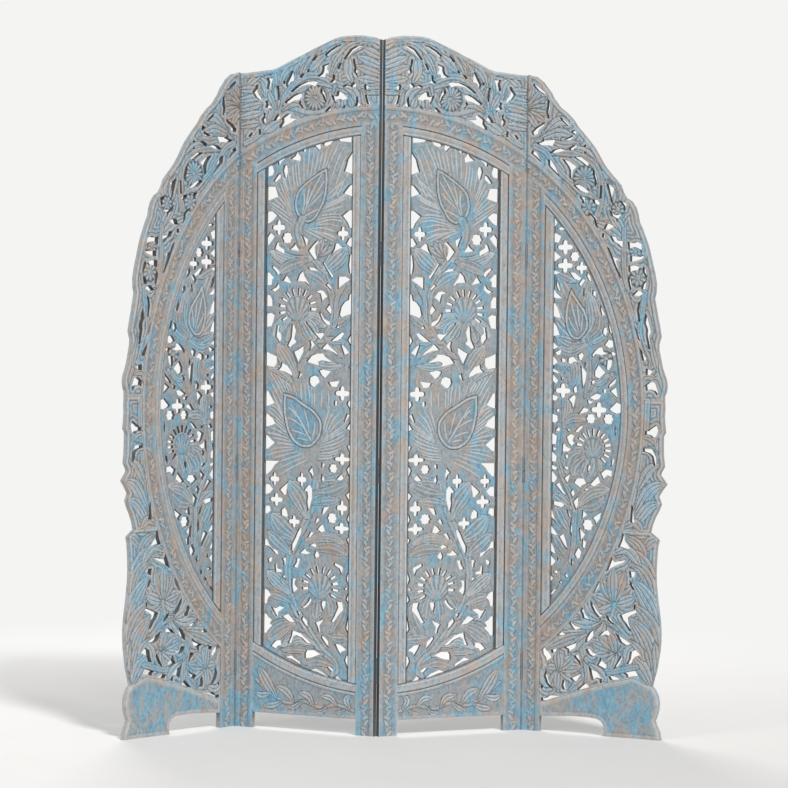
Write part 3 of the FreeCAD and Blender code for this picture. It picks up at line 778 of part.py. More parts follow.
def stile(x0, x1, edge, cutters, squeezed):
    """Upright of the frame, from the floor to the arched band."""
    body = box(x0, x1, 0, BOARD_T, 0, ARCH_CENTRE_Z)
    top = box(x0, x1, 0, BOARD_T, ARCH_CENTRE_Z, BEYOND).common(round_block(GROOVE_R, squeezed))
    body = body.fuse(top).removeSplitter().cut(hinge_pocket(*edge))
    return body.cut(Part.makeCompound(hinge_screws(*edge) + cutters))


def jali_blank(x0, x1, squeezed, back):
    """Room of the pierced board, which laps behind the mouldings, down to the given depth."""
    room = box(x0 - JALI_LAP, x1 + JALI_LAP, JALI_SET_BACK, back, 0, BEYOND)
    return room.common(round_block(OPENING_R + JALI_LAP, squeezed, JALI_SET_BACK, back))


def front_edges(shape, test):
    """Edges on the moulding's front face that pass the test."""
    found = []
    for edge in shape.Edges:
        middle = edge.valueAt((edge.FirstParameter + edge.LastParameter) / 2)
        points = [vertex.Point for vertex in edge.Vertexes] + [middle]
        if all(abs(point.y - BEAD_FRONT_Y) < EDGE_GAP for point in points) and test(middle):
            found.append(edge)
    return found


def bead(blank, is_inner_edge, rebate):
    """Moulding chamfered towards the opening, with a rebate behind it for the pierced board."""
    return blank.makeChamfer(BEAD_CHAMFER, front_edges(blank, is_inner_edge)).cut(rebate)


def straight_bead(x0, x1, x_open, squeezed, rebate):
    """Upright moulding beside a stile, ending at the arched moulding."""
    blank = box(x0, x1, BEAD_FRONT_Y, BEAD_BACK_Y, 0, BEYOND)
    blank = blank.common(round_block(OPENING_R, squeezed, BEAD_FRONT_Y, BEAD_BACK_Y))
    return bead(blank, lambda point: abs(point.x - x_open) < EDGE_GAP, rebate)


def arc_bead(x0, x1, z0, z1, squeezed, rebate):
    """Arched moulding beside the band."""
    blank = ring_block(OPENING_R, GROOVE_R, squeezed, BEAD_FRONT_Y, BEAD_BACK_Y)
    blank = blank.common(box(x0, x1, BEAD_FRONT_Y, BEAD_BACK_Y, z0, z1))
    return bead(blank, on_arch_line(OPENING_R, squeezed), rebate)


def inner_frame(dowels):
    """Stiles, bottom rail, arched band and crest of an inner panel."""
    far_x = PANEL_PITCH - STILE_W
    side_x = PANEL_PITCH - EDGE_GAP
    near_tenon = tenon(STILE_W - TENON_L, RAIL_TENON_Z, RAIL_TENON_H)
    far_tenon = tenon(far_x, RAIL_TENON_Z, RAIL_TENON_H)
    rail = box(STILE_W, far_x, 0, BOARD_T, RAIL_BOTTOM_Z, ARCH_CENTRE_Z).cut(round_block(GROOVE_R, False))
    band = ring_block(GROOVE_R, BAND_R, False)
    band = band.common(box(EDGE_GAP, side_x, 0, BOARD_T, ARCH_CENTRE_Z, BEYOND))
    crest = carved_board(INNER_CREST_SHARES + INNER_CREST_CORNER_SHARES, INNER_CREST_HOLE_SHARES)
    crest = crest.cut(round_block(BAND_R, False)).common(box(EDGE_GAP, side_x, 0, BOARD_T, 0, BEYOND))
    sockets = Part.makeCompound(dowels)
    return {
        "centre_stile": stile(EDGE_GAP, STILE_W, CENTRE_EDGE, dowels + [near_tenon], False),
        "hinge_stile": stile(far_x, side_x, HINGE_EDGE, dowels + [far_tenon], False),
        "bottom_rail": rail.fuse(near_tenon).fuse(far_tenon).removeSplitter(),
        "arch_rail": band.cut(sockets),
        "crest_board": crest.cut(sockets),
        "dowels": sockets,
    }


def inner_filling():
    """Mouldings and pierced board of an inner panel."""
    near_x = STILE_W + BEAD_W
    far_x = PANEL_PITCH - STILE_W - BEAD_W
    stile_x = PANEL_PITCH - STILE_W
    rebate = jali_blank(near_x, far_x, False, BEAD_BACK_Y)
    jali = jali_blank(near_x, far_x, False, JALI_SET_BACK + JALI_T)
    cutters = opening_cutters(INNER_JALI_HOLE_SHARES, INNER_CROSS_SHARES, INNER_STAR_SHARES,
                              INNER_DAISY_SHARES)
    return {
        "centre_bead": straight_bead(STILE_W, near_x, near_x, False, rebate),
        "hinge_bead": straight_bead(far_x, stile_x, far_x, False, rebate),
        "top_arc_bead": arc_bead(STILE_W, stile_x, ARCH_CENTRE_Z, BEYOND, False, rebate),
        "bottom_arc_bead": arc_bead(STILE_W, stile_x, 0, ARCH_CENTRE_Z, False, rebate),
        "jali_board": jali.cut(cutters),
    }


def outer_frame(dowels):
    """Stile, arched band and carved boards of an outer panel."""
    foot_tenon = tenon(STILE_W - TENON_L, FOOT_TENON_Z, FOOT_TENON_H)
    sockets = Part.makeCompound(dowels)
    band = ring_block(GROOVE_R, BAND_R, True).cut(sockets)
    carved = carved_board(OUTER_EDGE_SHARES + OUTER_CORNER_SHARES, OUTER_EDGE_HOLE_SHARES)
    carved = carved.cut(round_block(BAND_R, True)).cut(sockets)
    side_z = SIDE_SEAM_SHARE * GRID_UP
    lower_z = LOWER_SEAM_SHARE * GRID_UP
    below_foot_top = board(loop_face(FOOT_TOP_SHARES + FOOT_ROOM_SHARES))
    foot_edge = tuple(place for place in OUTER_EDGE_SHARES if place[1] < FOOT_TOP_SHARES[-1][1])
    foot = board(loop_face(FOOT_TOP_SHARES + foot_edge + FOOT_UNDERSIDE_SHARES))
    foot = foot.common(box(STILE_W, BEYOND, 0, BOARD_T, 0, BEYOND)).cut(sockets)
    return {
        "hinge_stile": stile(EDGE_GAP, STILE_W, OUTER_EDGE, dowels + [foot_tenon], True),
        "upper_arch_rail": band.common(box(EDGE_GAP, BEYOND, 0, BOARD_T, ARCH_CENTRE_Z, BEYOND)),
        "lower_arch_rail": band.common(box(STILE_W, BEYOND, 0, BOARD_T, 0, ARCH_CENTRE_Z)),
        "crest_board": carved.common(box(EDGE_GAP, BEYOND, 0, BOARD_T, side_z, BEYOND)),
        "side_board": carved.common(box(STILE_W, BEYOND, 0, BOARD_T, lower_z, side_z)),
        "spandrel_board": carved.common(box(STILE_W, BEYOND, 0, BOARD_T, 0, lower_z)).cut(below_foot_top),
        "foot_board": foot.fuse(foot_tenon).removeSplitter(),
        "dowels": sockets,
    }


def outer_filling():
    """Mouldings and pierced board of an outer panel."""
    near_x = STILE_W + BEAD_W
    rebate = jali_blank(near_x, BEYOND, True, BEAD_BACK_Y)
    jali = jali_blank(near_x, BEYOND, True, JALI_SET_BACK + JALI_T)
    cutters = opening_cutters(OUTER_JALI_HOLE_SHARES, OUTER_CROSS_SHARES, OUTER_STAR_SHARES,
                              OUTER_DAISY_SHARES)
    return {
        "hinge_bead": straight_bead(STILE_W, near_x, near_x, True, rebate),
        "arc_bead": arc_bead(STILE_W, BEYOND, 0, BEYOND, True, rebate),
        "jali_board": jali.cut(cutters),
    }


def turned(point, turn_deg):
    """Plan point turned about the origin."""
    turn = math.radians(turn_deg)
    across = point.x * math.cos(turn) - point.y * math.sin(turn)
    return V(across, point.x * math.sin(turn) + point.y * math.cos(turn), 0)


def placed(shape, mirrored, turn_deg, pin, target):
    """Panel piece turned so that its own pin axis stands on the target."""
    shape = shape.mirror(V(0, 0, 0), V(1, 0, 0)) if mirrored else shape.copy()
    own_pin = V(-pin.x, pin.y, 0) if mirrored else pin
    shape.rotate(V(0, 0, 0), V(0, 0, 1), turn_deg)
    shape.translate(target - turned(own_pin, turn_deg))
    return shape


def write(name, shape):
    """Step file of one node."""
    shape.exportStep("parts/" + name + ".step")


def write_panels(kind, pieces, right_place, left_place):
    """Every piece of the right and the left panel of one kind."""
    for name, piece in pieces.items():
        write("right_" + kind + "_" + name, placed(piece, *right_place))
        write("left_" + kind + "_" + name, placed(piece, *left_place))


def write_fold(fold, edge, side, place, holds_pin):
    """Leaves, screws and pins that one stile's edge carries."""
    screws = hinge_screws(*edge)
    leaves = hinge_leaves(edge, holds_pin, screws)
    write(fold + "_" + side + "_leaves", placed(Part.makeCompound(leaves), *place))
    write(fold + "_" + side + "_screws", placed(Part.makeCompound(screws), *place))
    if holds_pin:
        write(fold + "_pins", placed(Part.makeCompound(hinge_pins(edge)), *place))


# Each hinged edge: where it is, which way its stile lies, where its hinge axis is, which way the board lies
BACK_PIN_Y = BOARD_T + PIN_OFFSET
FRONT_PIN_Y = -PIN_OFFSET
CENTRE_EDGE = (EDGE_GAP, 1, BACK_PIN_Y, -1)
HINGE_EDGE = (PANEL_PITCH - EDGE_GAP, -1, FRONT_PIN_Y, 1)
OUTER_EDGE = (EDGE_GAP, 1, FRONT_PIN_Y, 1)

# The hinge axes in the panels' own frames
CENTRE_PIN = V(0, BACK_PIN_Y, 0)
HINGE_PIN = V(PANEL_PITCH, FRONT_PIN_Y, 0)
LEFT_HINGE_PIN = V(-PANEL_PITCH, FRONT_PIN_Y, 0)
OUTER_PIN = V(0, FRONT_PIN_Y, 0)

# The right inner panel's centre foot stands on the origin, and each hinge axis follows from it
FOOT_MIDDLE = V((EDGE_GAP + STILE_W) / 2, BOARD_T / 2, 0)
CENTRE_AT = turned(CENTRE_PIN - FOOT_MIDDLE, RIGHT_INNER_DEG)
RIGHT_AT = CENTRE_AT + turned(HINGE_PIN - CENTRE_PIN, RIGHT_INNER_DEG)
LEFT_AT = CENTRE_AT + turned(LEFT_HINGE_PIN - CENTRE_PIN, -LEFT_INNER_DEG)

RIGHT_INNER = (False, RIGHT_INNER_DEG, CENTRE_PIN, CENTRE_AT)
LEFT_INNER = (True, -LEFT_INNER_DEG, CENTRE_PIN, CENTRE_AT)
RIGHT_OUTER = (False, -RIGHT_OUTER_DEG, OUTER_PIN, RIGHT_AT)
LEFT_OUTER = (True, LEFT_OUTER_DEG, OUTER_PIN, LEFT_AT)

write_panels("inner", {**inner_frame(inner_dowels()), **inner_filling()}, RIGHT_INNER, LEFT_INNER)
write_panels("outer", {**outer_frame(outer_dowels()), **outer_filling()}, RIGHT_OUTER, LEFT_OUTER)
write_fold("centre_fold", CENTRE_EDGE, "right", RIGHT_INNER, True)
write_fold("centre_fold", CENTRE_EDGE, "left", LEFT_INNER, False)
write_fold("right_fold", HINGE_EDGE, "inner", RIGHT_INNER, True)
write_fold("right_fold", OUTER_EDGE, "outer", RIGHT_OUTER, False)
write_fold("left_fold", HINGE_EDGE, "inner", LEFT_INNER, True)
write_fold("left_fold", OUTER_EDGE, "outer", LEFT_OUTER, False)
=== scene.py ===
"""Carved four-panel folding screen: its boards are carved, painted and worn here."""

import logging
import math
from collections.abc import Callable, Sequence
from dataclasses import dataclass
from enum import Enum

import bmesh
import bpy
import numpy as np
from mathutils import Matrix, Vector, kdtree
from mathutils.geometry import delaunay_2d_cdt


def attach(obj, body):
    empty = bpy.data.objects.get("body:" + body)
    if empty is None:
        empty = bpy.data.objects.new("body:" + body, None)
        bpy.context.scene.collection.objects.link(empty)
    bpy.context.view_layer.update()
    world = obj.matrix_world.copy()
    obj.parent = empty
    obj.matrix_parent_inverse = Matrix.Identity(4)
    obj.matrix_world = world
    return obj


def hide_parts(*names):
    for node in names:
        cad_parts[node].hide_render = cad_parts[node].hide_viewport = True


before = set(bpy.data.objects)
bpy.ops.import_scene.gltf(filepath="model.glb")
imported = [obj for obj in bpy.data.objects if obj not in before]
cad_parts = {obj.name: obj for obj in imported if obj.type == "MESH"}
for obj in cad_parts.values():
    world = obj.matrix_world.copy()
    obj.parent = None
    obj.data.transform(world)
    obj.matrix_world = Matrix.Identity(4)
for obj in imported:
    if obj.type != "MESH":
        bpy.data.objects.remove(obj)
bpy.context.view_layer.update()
log = logging.getLogger("carved_screen")

CM = 0.01                   # the drawings are in centimetres
MM = 0.001                  # depths of cut are in millimetres
COARSE = 1.0

PITCH = 41.6                # from one joint to the next, centimetres
HALF_GAP = 0.06             # from a joint to the boards beside it, centimetres
FRINGE = 0.13               # width of the sunk ground along an ornament's edge, centimetres
SHARP = math.radians(58)    # edges that turn by more than this stay crisp

Place = tuple[float, float]     # across and up in centimetres, where nothing else is said


class Side(Enum):
    """Which half of the screen a panel stands in."""
    RIGHT = "right"
    LEFT = "left"


class Shape(Enum):
    """Outlines that the carver gives to a stroke."""
    PETAL = "petal"         # ribs left standing on a smooth leaf
    LEAF = "leaf"           # veins gouged into a leaf
    STEM = "stem"
    RIB = "rib"             # a thin ridge on what is already there


def smooth(values: np.ndarray, low: float, high: float) -> np.ndarray:
    """Ease from 0 at low to 1 at high.

    Args:
        values: What is measured.
        low: Where the step starts.
        high: Where it ends.

    Returns:
        The eased step for each value.
    """
    t = np.clip((values - low) / (high - low), 0.0, 1.0)
    return t * t * (3.0 - 2.0 * t)


def groove(values: np.ndarray, at: float, half: float) -> np.ndarray:
    """A soft line of gouge marks where values equal at, half as wide as given."""
    return np.exp(-((values - at) / half) ** 2)


def curved(line: Sequence[Place]) -> np.ndarray:
    """Draw a smooth curve through its points.

    Args:
        line: Two or more points, centimetres.

    Returns:
        Points along the curve, a row each.
    """
    points = np.array(line)
    if len(points) == 2:
        return np.linspace(points[0], points[1], 5)
    ends = np.vstack((2 * points[0] - points[1], points, 2 * points[-1] - points[-2]))
    runs = []
    for a, b, c, d in zip(ends[:-3], ends[1:-2], ends[2:-1], ends[3:]):
        t = np.linspace(0.0, 1.0, 7)[:-1, None]
        runs.append(0.5 * (2 * b + (c - a) * t + (2 * a - 5 * b + 4 * c - d) * t ** 2
                           + (3 * b - a - 3 * c + d) * t ** 3))
    return np.vstack(runs + [points[-1:]])


@dataclass(frozen=True)
class Nearest:
    """Where places lie beside a curve."""
    away: np.ndarray            # distance from the curve
    along: np.ndarray           # share of the way along it
    turn: np.ndarray            # 1 on its left, -1 on its right

    @classmethod
    def to(cls, path: np.ndarray, across: np.ndarray, up: np.ndarray) -> "Nearest":
        """Measure places against a curve.

        Args:
            path: Points along the curve.
            across: The places' distances across.
            up: The places' heights.

        Returns:
            How the places lie.
        """
        start, step = path[:-1], np.diff(path, axis=0)
        length = np.hypot(step[:, 0], step[:, 1]) + 1e-9
        dx, dz = across[:, None] - start[:, 0], up[:, None] - start[:, 1]
        t = np.clip((dx * step[:, 0] + dz * step[:, 1]) / length ** 2, 0.0, 1.0)
        off = (dx - t * step[:, 0]) ** 2 + (dz - t * step[:, 1]) ** 2
        best, row = off.argmin(1), np.arange(len(across))
        travelled = np.concatenate(([0.0], np.cumsum(length)))
        along = (travelled[best] + t[row, best] * length[best]) / travelled[-1]
        turn = np.sign(step[best, 0] * dz[row, best] - step[best, 1] * dx[row, best])
        return cls(np.sqrt(off[row, best]), along, turn)


@dataclass(frozen=True)
class Stand:
    """How a panel stands on the floor plan.

    Its drawing has x across from the joint, y back from the front face and z up.
    """
    side: Side
    inner: bool
    pin: Place              # hinge axis on the floor plan, metres
    heel: float             # how far behind the front face that axis lies, metres
    turn: float             # degrees

    @property
    def prefix(self) -> str:
        """Start of the names of the panel's boards."""
        return f"{self.side.value}_{'inner' if self.inner else 'outer'}"

    @property
    def body(self) -> str:
        """Name of the body that the panel's pieces ride on."""
        return f"{self.prefix}_panel"

    @property
    def turned(self) -> tuple[float, float, float]:
        """Its mirror sign, and the cosine and the sine of its turn."""
        angle = math.radians(self.turn)
        return -1.0 if self.side is Side.LEFT else 1.0, math.cos(angle), math.sin(angle)

    def placed(self, points: np.ndarray) -> np.ndarray:
        """Take points from the panel's drawing to where the panel stands.

        Args:
            points: Places in the drawing, metres, a row each.

        Returns:
            The same places in the room.
        """
        flip, c, s = self.turned
        x, y = flip * points[:, 0], points[:, 1] - self.heel
        return np.column_stack((self.pin[0] + c * x - s * y, self.pin[1] + s * x + c * y, points[:, 2]))

    def drawn(self, points: np.ndarray) -> np.ndarray:
        """Take points from where the panel stands back to its drawing.

        Args:
            points: Places in the room, metres, a row each.

        Returns:
            The same places in the drawing.
        """
        flip, c, s = self.turned
        x, y = points[:, 0] - self.pin[0], points[:, 1] - self.pin[1]
        return np.column_stack((flip * (c * x + s * y), self.heel - s * x + c * y, points[:, 2]))


RIGHT_INNER = Stand(Side.RIGHT, True, (-0.0275909, -0.0051453), 0.0188, 31.0)
LEFT_INNER = Stand(Side.LEFT, True, (-0.0275909, -0.0051453), 0.0188, -19.2)
RIGHT_OUTER = Stand(Side.RIGHT, False, (0.3390855, 0.1923101), -0.0008, -21.0)
LEFT_OUTER = Stand(Side.LEFT, False, (-0.4268972, 0.1131535), -0.0008, 55.2)


class CarvedFace:
    """One face of a board while it is carved."""

    def __init__(self, across: np.ndarray, up: np.ndarray, to_edge: np.ndarray, to_side: np.ndarray) -> None:
        """Start with an uncut face.

        Args:
            across: Centimetres from the panel's joint.
            up: Centimetres from the floor.
            to_edge: Centimetres to the nearest edge or opening.
            to_side: Centimetres to the board's own outline.
        """
        self.across, self.up, self.to_edge, self.to_side = across, up, to_edge, to_side
        self.deep = np.zeros(len(across))
        self.blue = np.zeros(len(across))
        self.warm = np.zeros(len(across))
        # line: dark lines drawn in grooves, round ornaments and along folds; they are painted shade with grime
        self.line = np.zeros(len(across))
        # ridge: painted highlight on raised parts and edges, with paint rubbed pale there
        self.ridge = np.zeros(len(across))

    def near(self, path: np.ndarray, reach: float) -> np.ndarray:
        """Find the places within reach of the box round a curve.

        Args:
            path: Points along the curve.
            reach: Centimetres.

        Returns:
            The numbers of those places.
        """
        low, high = path.min(0) - reach, path.max(0) + reach
        return np.nonzero((self.across > low[0]) & (self.across < high[0])
                          & (self.up > low[1]) & (self.up < high[1]))[0]

    def round_over(self, depth: float, reach: float) -> None:
        """Round the arrises, but not at a fold.

        Args:
            depth: Depth of the rounding at the edge, millimetres.
            reach: How far it runs into the face, centimetres.
        """
        rounded = depth * np.exp(-(self.to_edge / reach) ** 2)
        rounded *= smooth(np.minimum(self.across, PITCH - self.across), HALF_GAP, 0.35)
        self.deep = np.maximum(self.deep, rounded)

    @property
    def recess_grime_and_shade(self) -> np.ndarray:
        """How much grime and painted shade a place gets, 0 to 1: more in deep cuts and on drawn dark lines."""
        return np.clip(0.9 * smooth(self.deep, 0.6, 5.2) + 0.7 * self.line, 0.0, 1.0)

    @property
    def wear_and_highlight(self) -> np.ndarray:
        """How much handling has rubbed a place, with painted highlight near edges and on ridges, 0 to 1."""
        return np.clip(0.7 * np.exp(-self.to_edge / 0.2) * (1.0 - self.recess_grime_and_shade) + self.ridge, 0.0, 1.0)


@dataclass(frozen=True)
class Stroke:
    """A petal, leaf, stem or rib: a line from base to tip with a width in centimetres."""
    shape: Shape
    line: tuple[Place, ...]
    width: float
    flutes: int                 # with 0 a petal stays plain and a leaf gets veins to suit its width

    @property
    def chance(self) -> float:
        """A number from 0 to 1 that is this stroke's own."""
        (x, z), swing = self.line[0], 43758.5453
        return abs(math.sin(12.9898 * x + 78.233 * z + self.width) * swing) % 1.0

    def half_width(self, along: np.ndarray) -> np.ndarray:
        """Measure half the width along the stroke.

        Args:
            along: Shares of the way from base to tip.

        Returns:
            Half the width at each, centimetres.
        """
        if self.shape is Shape.STEM:
            return np.full(len(along), self.width / 2.0)
        if self.shape is Shape.RIB:
            return self.width / 2.0 * (1.0 - 0.5 * np.abs(2.0 * along - 1.0) ** 3)
        widest, start = 0.56, 0.42
        rise = start + (1.0 - start) * np.sin(np.clip(along / widest, 0, 1) * math.pi / 2)
        fall = np.clip(1.0 - ((along - widest) / (1.0 - widest)).clip(0) ** 1.9, 0, 1) ** 0.8
        return self.width / 2.0 * rise * fall

    def lay(self, face: CarvedFace) -> None:
        """Cut the stroke over what is there.

        Args:
            face: The face being carved.
        """
        path = curved(self.line)
        near = face.near(path, self.width / 2.0 + 0.3)
        if not len(near):
            return
        beside = Nearest.to(path, face.across[near], face.up[near])
        half = self.half_width(beside.along) + 1e-6
        v = beside.turn * beside.away / half
        if self.shape is Shape.RIB:
            self.raise_rib(face, near, beside.away / half)
        else:
            self.cut(face, near, beside.along, v, beside.away - half, half)

    def raise_rib(self, face: CarvedFace, near: np.ndarray, size: np.ndarray) -> None:
        """Leave a thin ridge standing on what is already carved.

        Args:
            face: The face being carved.
            near: Which of its places the rib may touch.
            size: Distance from the rib's middle, 1 at its edge.
        """
        ridge = np.exp(-1.6 * size ** 4)
        face.deep[near] = np.maximum(face.deep[near] - 1.5 * ridge, 0.0)
        face.deep[near] += 0.5 * groove(size, 1.55, 0.35)
        # painted shade in a dark line beside the rib, painted highlight on the rib
        face.line[near] = np.maximum(face.line[near] * (1.0 - ridge), 0.34 * groove(size, 1.5, 0.3))
        face.ridge[near] = np.maximum(face.ridge[near], 0.95 * ridge)

    def cut(self, face: CarvedFace, near: np.ndarray, along: np.ndarray, v: np.ndarray,
            past: np.ndarray, half: np.ndarray) -> None:
        """Set the depths of a stroke.

        Args:
            face: The face being carved.
            near: Which of its places the stroke may touch.
            along: Share of the way from base to tip.
            v: Place across the stroke, -1 to 1 from edge to edge.
            past: Centimetres outside the stroke's edge.
            half: Half the stroke's width there, centimetres.
        """
        plain = self.shape is Shape.PETAL and not self.flutes
        inside = past < 0.0
        size = np.abs(v)
        line = np.zeros(len(v))
        if self.shape is Shape.STEM:
            part = np.abs((v + 1.0) / 2.0 * self.flutes % 1.0 - 0.5) * 2.0
            ridge = 0.5 * (1.0 - part) ** 2
            depth = 0.2 + 2.0 * part ** 2.5
        elif self.shape is Shape.LEAF:
            bands = self.flutes or max(2, round(self.width / 1.15))
            part = (v + 1.0) / 2.0 * bands
            to_vein = np.abs(part - np.round(part)) * 2.0 * half / bands
            vein = np.exp(-(to_vein / 0.125) ** 2) * (size < 0.93) * smooth(half * 2.0 / bands, 0.25, 0.6)
            ridge = 0.85 * groove(to_vein, 0.3, 0.12) + 0.2 * (1.0 - vein)
            line = 0.5 * vein
            depth = 0.6 + 1.0 * (1.0 - along) + 0.4 * v + 1.7 * vein + 1.9 * size ** 10
        else:
            sides = (0.88, -0.88) if self.width < 3.4 else (0.88, -0.88, 0.46, -0.46)
            at = (0.0,) if self.flutes == 1 else (0.0, *sides)
            thin = np.clip(0.17 / half, 0.02, 0.5)
            ribs = [np.exp(-((v - place) / thin) ** 2) for place in at] if self.flutes else [0.0 * v]
            ridge = np.max(ribs, axis=0) * smooth(half, 0.15, 0.5)
            depth = 1.7 + 0.5 * v + 0.9 * (1.0 - along) - 1.4 * ridge + 1.6 * size ** 12
        if plain:
            depth = np.full(len(v), 1.3)
            past = np.where(inside, past, 1.0)
        # a dark line of painted shade with grime in the sunk ground round the stroke; painted highlights on its ribs
        # and veins
        fringe = (past >= 0.0) & (past < FRINGE)
        face.deep[near[fringe]] = np.maximum(face.deep[near[fringe]], 3.2)
        face.line[near[fringe]] = np.maximum(face.line[near[fringe]], 0.25)
        face.ridge[near[fringe]] = 0.0
        took = near[inside]
        face.deep[took] = depth[inside]
        face.line[took] = line[inside]
        face.ridge[took] = ridge[inside] * (0.45 + 0.55 * self.chance)
        face.blue[took] = -0.02 if plain else 0.08 * (self.chance - 0.5)
        face.warm[took] = 0.0 if plain else 0.07 * (0.5 - self.chance)


@dataclass(frozen=True)
class Pod:
    """A closed bud with a raised rim, its outline drawn from its tip round to its tip again."""
    outline: tuple[Place, ...]
    rim: float = 0.6            # width of its raised rim, centimetres
    fringe: float = 0.2         # width of the sunk ground round it, centimetres

    def lay(self, face: CarvedFace) -> None:
        """Cut the pod over what is there.

        Args:
            face: The face being carved.
        """
        path = curved(self.outline)
        near = face.near(path, 2.0 * self.fringe)
        if not len(near):
            return
        across, up = face.across[near], face.up[near]
        away = Nearest.to(path, across, up).away
        a, b = path[:-1], path[1:]
        hit = (a[:, 1] > up[:, None]) != (b[:, 1] > up[:, None])
        cut = a[:, 0] + (up[:, None] - a[:, 1]) / (b[:, 1] - a[:, 1] + 1e-12) * (b[:, 0] - a[:, 0])
        inside = (hit & (cut > across[:, None])).sum(1) % 2 == 1
        raised = np.clip(1.0 - np.abs(2.0 * away / self.rim - 1.0) ** 4, 0.0, 1.0)
        floor_at = 2.0 + 0.6 * groove(away, self.rim + 0.2, 0.2)
        ground = near[~inside & (away < self.fringe)]
        face.deep[ground] = np.maximum(face.deep[ground], 3.6)
        # a dark line of painted shade with grime round the pod; painted highlight on its rim
        face.line[ground], face.ridge[ground] = 0.4, 0.0
        took = near[inside]
        face.deep[took] = (floor_at - 2.0 * raised)[inside]
        face.line[took] = (0.35 * groove(away, self.rim + 0.12, 0.14))[inside]
        face.ridge[took] = (0.8 * raised)[inside]
        face.blue[took], face.warm[took] = -0.012, 0.0


@dataclass(frozen=True)
class Shell:
    """The middle of a large flower: a disc fluted like a shell from its lowest point, with ribs round it."""
    centre: Place
    radius: float               # centimetres
    rib_turn: float = 0.157     # radians from one rib round it to the next
    flute_turn: float = 0.31    # radians from one flute to the next, about its lowest point

    def lay(self, face: CarvedFace) -> None:
        """Cut the shell and the ribs that spread round it.

        Args:
            face: The face being carved.
        """
        dx, dz = face.across - self.centre[0], face.up - self.centre[1]
        past = np.hypot(dx, dz) - self.radius
        spread = smooth(past, 0.2, 0.6) * (1.0 - smooth(past, 2.3, 3.1)) * smooth(dz, -0.35 * self.radius, 0.0)
        rays = np.arctan2(dz, dx) / self.rib_turn
        to_rib = np.abs(rays - np.round(rays))
        face.deep += spread * (0.9 * smooth(to_rib, 0.15, 0.45) - 0.5)
        # dark lines of painted shade between the ribs, painted highlights on the ribs and flutes
        face.line += 0.3 * spread * smooth(to_rib, 0.36, 0.5)
        face.ridge = np.maximum(face.ridge, 0.7 * spread * groove(to_rib, 0.0, 0.16))
        rise = dz + self.radius
        count = np.arctan2(dx, np.maximum(rise, 1e-3)) / self.flute_turn
        v = (count - np.round(count)) * 2.0
        share = smooth(np.hypot(dx, rise), 0.2 * self.radius, 0.9 * self.radius)
        depth = 0.7 + 1.5 * share * v ** 2 + 0.9 * smooth(past, -0.25, 0.0)
        disc, around = past < 0.0, (past >= 0.0) & (past < FRINGE)
        face.deep[disc], face.line[disc] = depth[disc], (0.42 * share * np.abs(v) ** 3)[disc]
        face.ridge[disc] = (0.55 * share * groove(v, 0.0, 0.4))[disc]
        face.deep[around], face.line[around], face.ridge[around] = 2.6, 0.3, 0.0
        face.blue[disc], face.warm[disc] = 0.01, 0.0


@dataclass(frozen=True)
class Flower:
    """A round flower seen from the front, sizes in centimetres."""
    centre: Place
    radius: float
    petals: int
    eye: float = 0.34           # share of the radius

    def lay(self, face: CarvedFace) -> None:
        """Cut the flower over what is there.

        Args:
            face: The face being carved.
        """
        dx, dz = face.across - self.centre[0], face.up - self.centre[1]
        r = np.hypot(dx, dz) / self.radius
        near = np.nonzero(r < 1.0 + FRINGE / self.radius)[0]
        r, angle = r[near], np.arctan2(dz, dx)[near]
        v = (angle / math.tau * self.petals % 1.0) * 2.0 - 1.0
        lobe = 1.0 - 0.16 * np.abs(v) ** 2.5
        petal = 0.8 + 2.4 * np.abs(v) ** 2 - 0.5 * groove(v, 0.0, 0.2) + 1.3 * groove(r, self.eye, 0.09)
        petal += 1.9 * smooth(r / lobe, 0.8, 1.0)
        eye = 0.3 + 1.8 * (r / self.eye) ** 3 + 0.7 * np.abs(np.sin(9.0 * r / self.eye))
        depth = np.where(r < self.eye, eye, petal)
        inside = r < lobe
        took, ground = near[inside], near[~inside]
        face.deep[took] = depth[inside]
        # dark lines of painted shade at the petals' edges and round the flower, painted highlights on the petals
        face.line[took] = 0.3 * (np.abs(v) ** 4 * (r > self.eye))[inside]
        face.ridge[took] = np.where(r < self.eye, 0.2, 0.7 * groove(v, 0.0, 0.3))[inside]
        face.deep[ground] = np.maximum(face.deep[ground], 3.8)
        face.line[ground], face.ridge[ground] = 0.4, 0.0


Ornament = Stroke | Flower | Shell | Pod


def petal(base: Place, middle: Place, tip: Place, width: float, flutes: int = 2) -> Stroke:
    """A petal with standing ribs from base to tip; none with 0 flutes."""
    return Stroke(Shape.PETAL, (base, middle, tip), width, flutes)


def leaf(width: float, *line: Place) -> Stroke:
    """A leaf with gouged veins from base to tip."""
    return Stroke(Shape.LEAF, tuple(line), width, 0)


def stem(width: float, flutes: int, *line: Place) -> Stroke:
    """A stem of even width through its points."""
    return Stroke(Shape.STEM, tuple(line), width, flutes)


def rib(*line: Place, width: float = 0.48) -> Stroke:
    """A thin ridge through its points."""
    return Stroke(Shape.RIB, tuple(line), width, 1)


def doubled(*ribs: Stroke, width: float = 0.4) -> list[Stroke]:
    """Set a thinner rib between each pair of neighbours.

    Args:
        ribs: Ribs in order, each with as many points as the next.
        width: Width of the ribs between, centimetres.

    Returns:
        The ribs between, and then the ribs.
    """
    between = []
    for first, second in zip(ribs, ribs[1:]):
        middle = [((p[0] + q[0]) / 2.0, (p[1] + q[1]) / 2.0) for p, q in zip(first.line, second.line)]
        between.append(rib(*middle, width=width))
    return [*between, *ribs]


def fan(base: Place, tips: Sequence[Place], width: float) -> list[Stroke]:
    """Gouged petals of one width that spread from one base."""
    return [leaf(width, base, tip) for tip in tips]


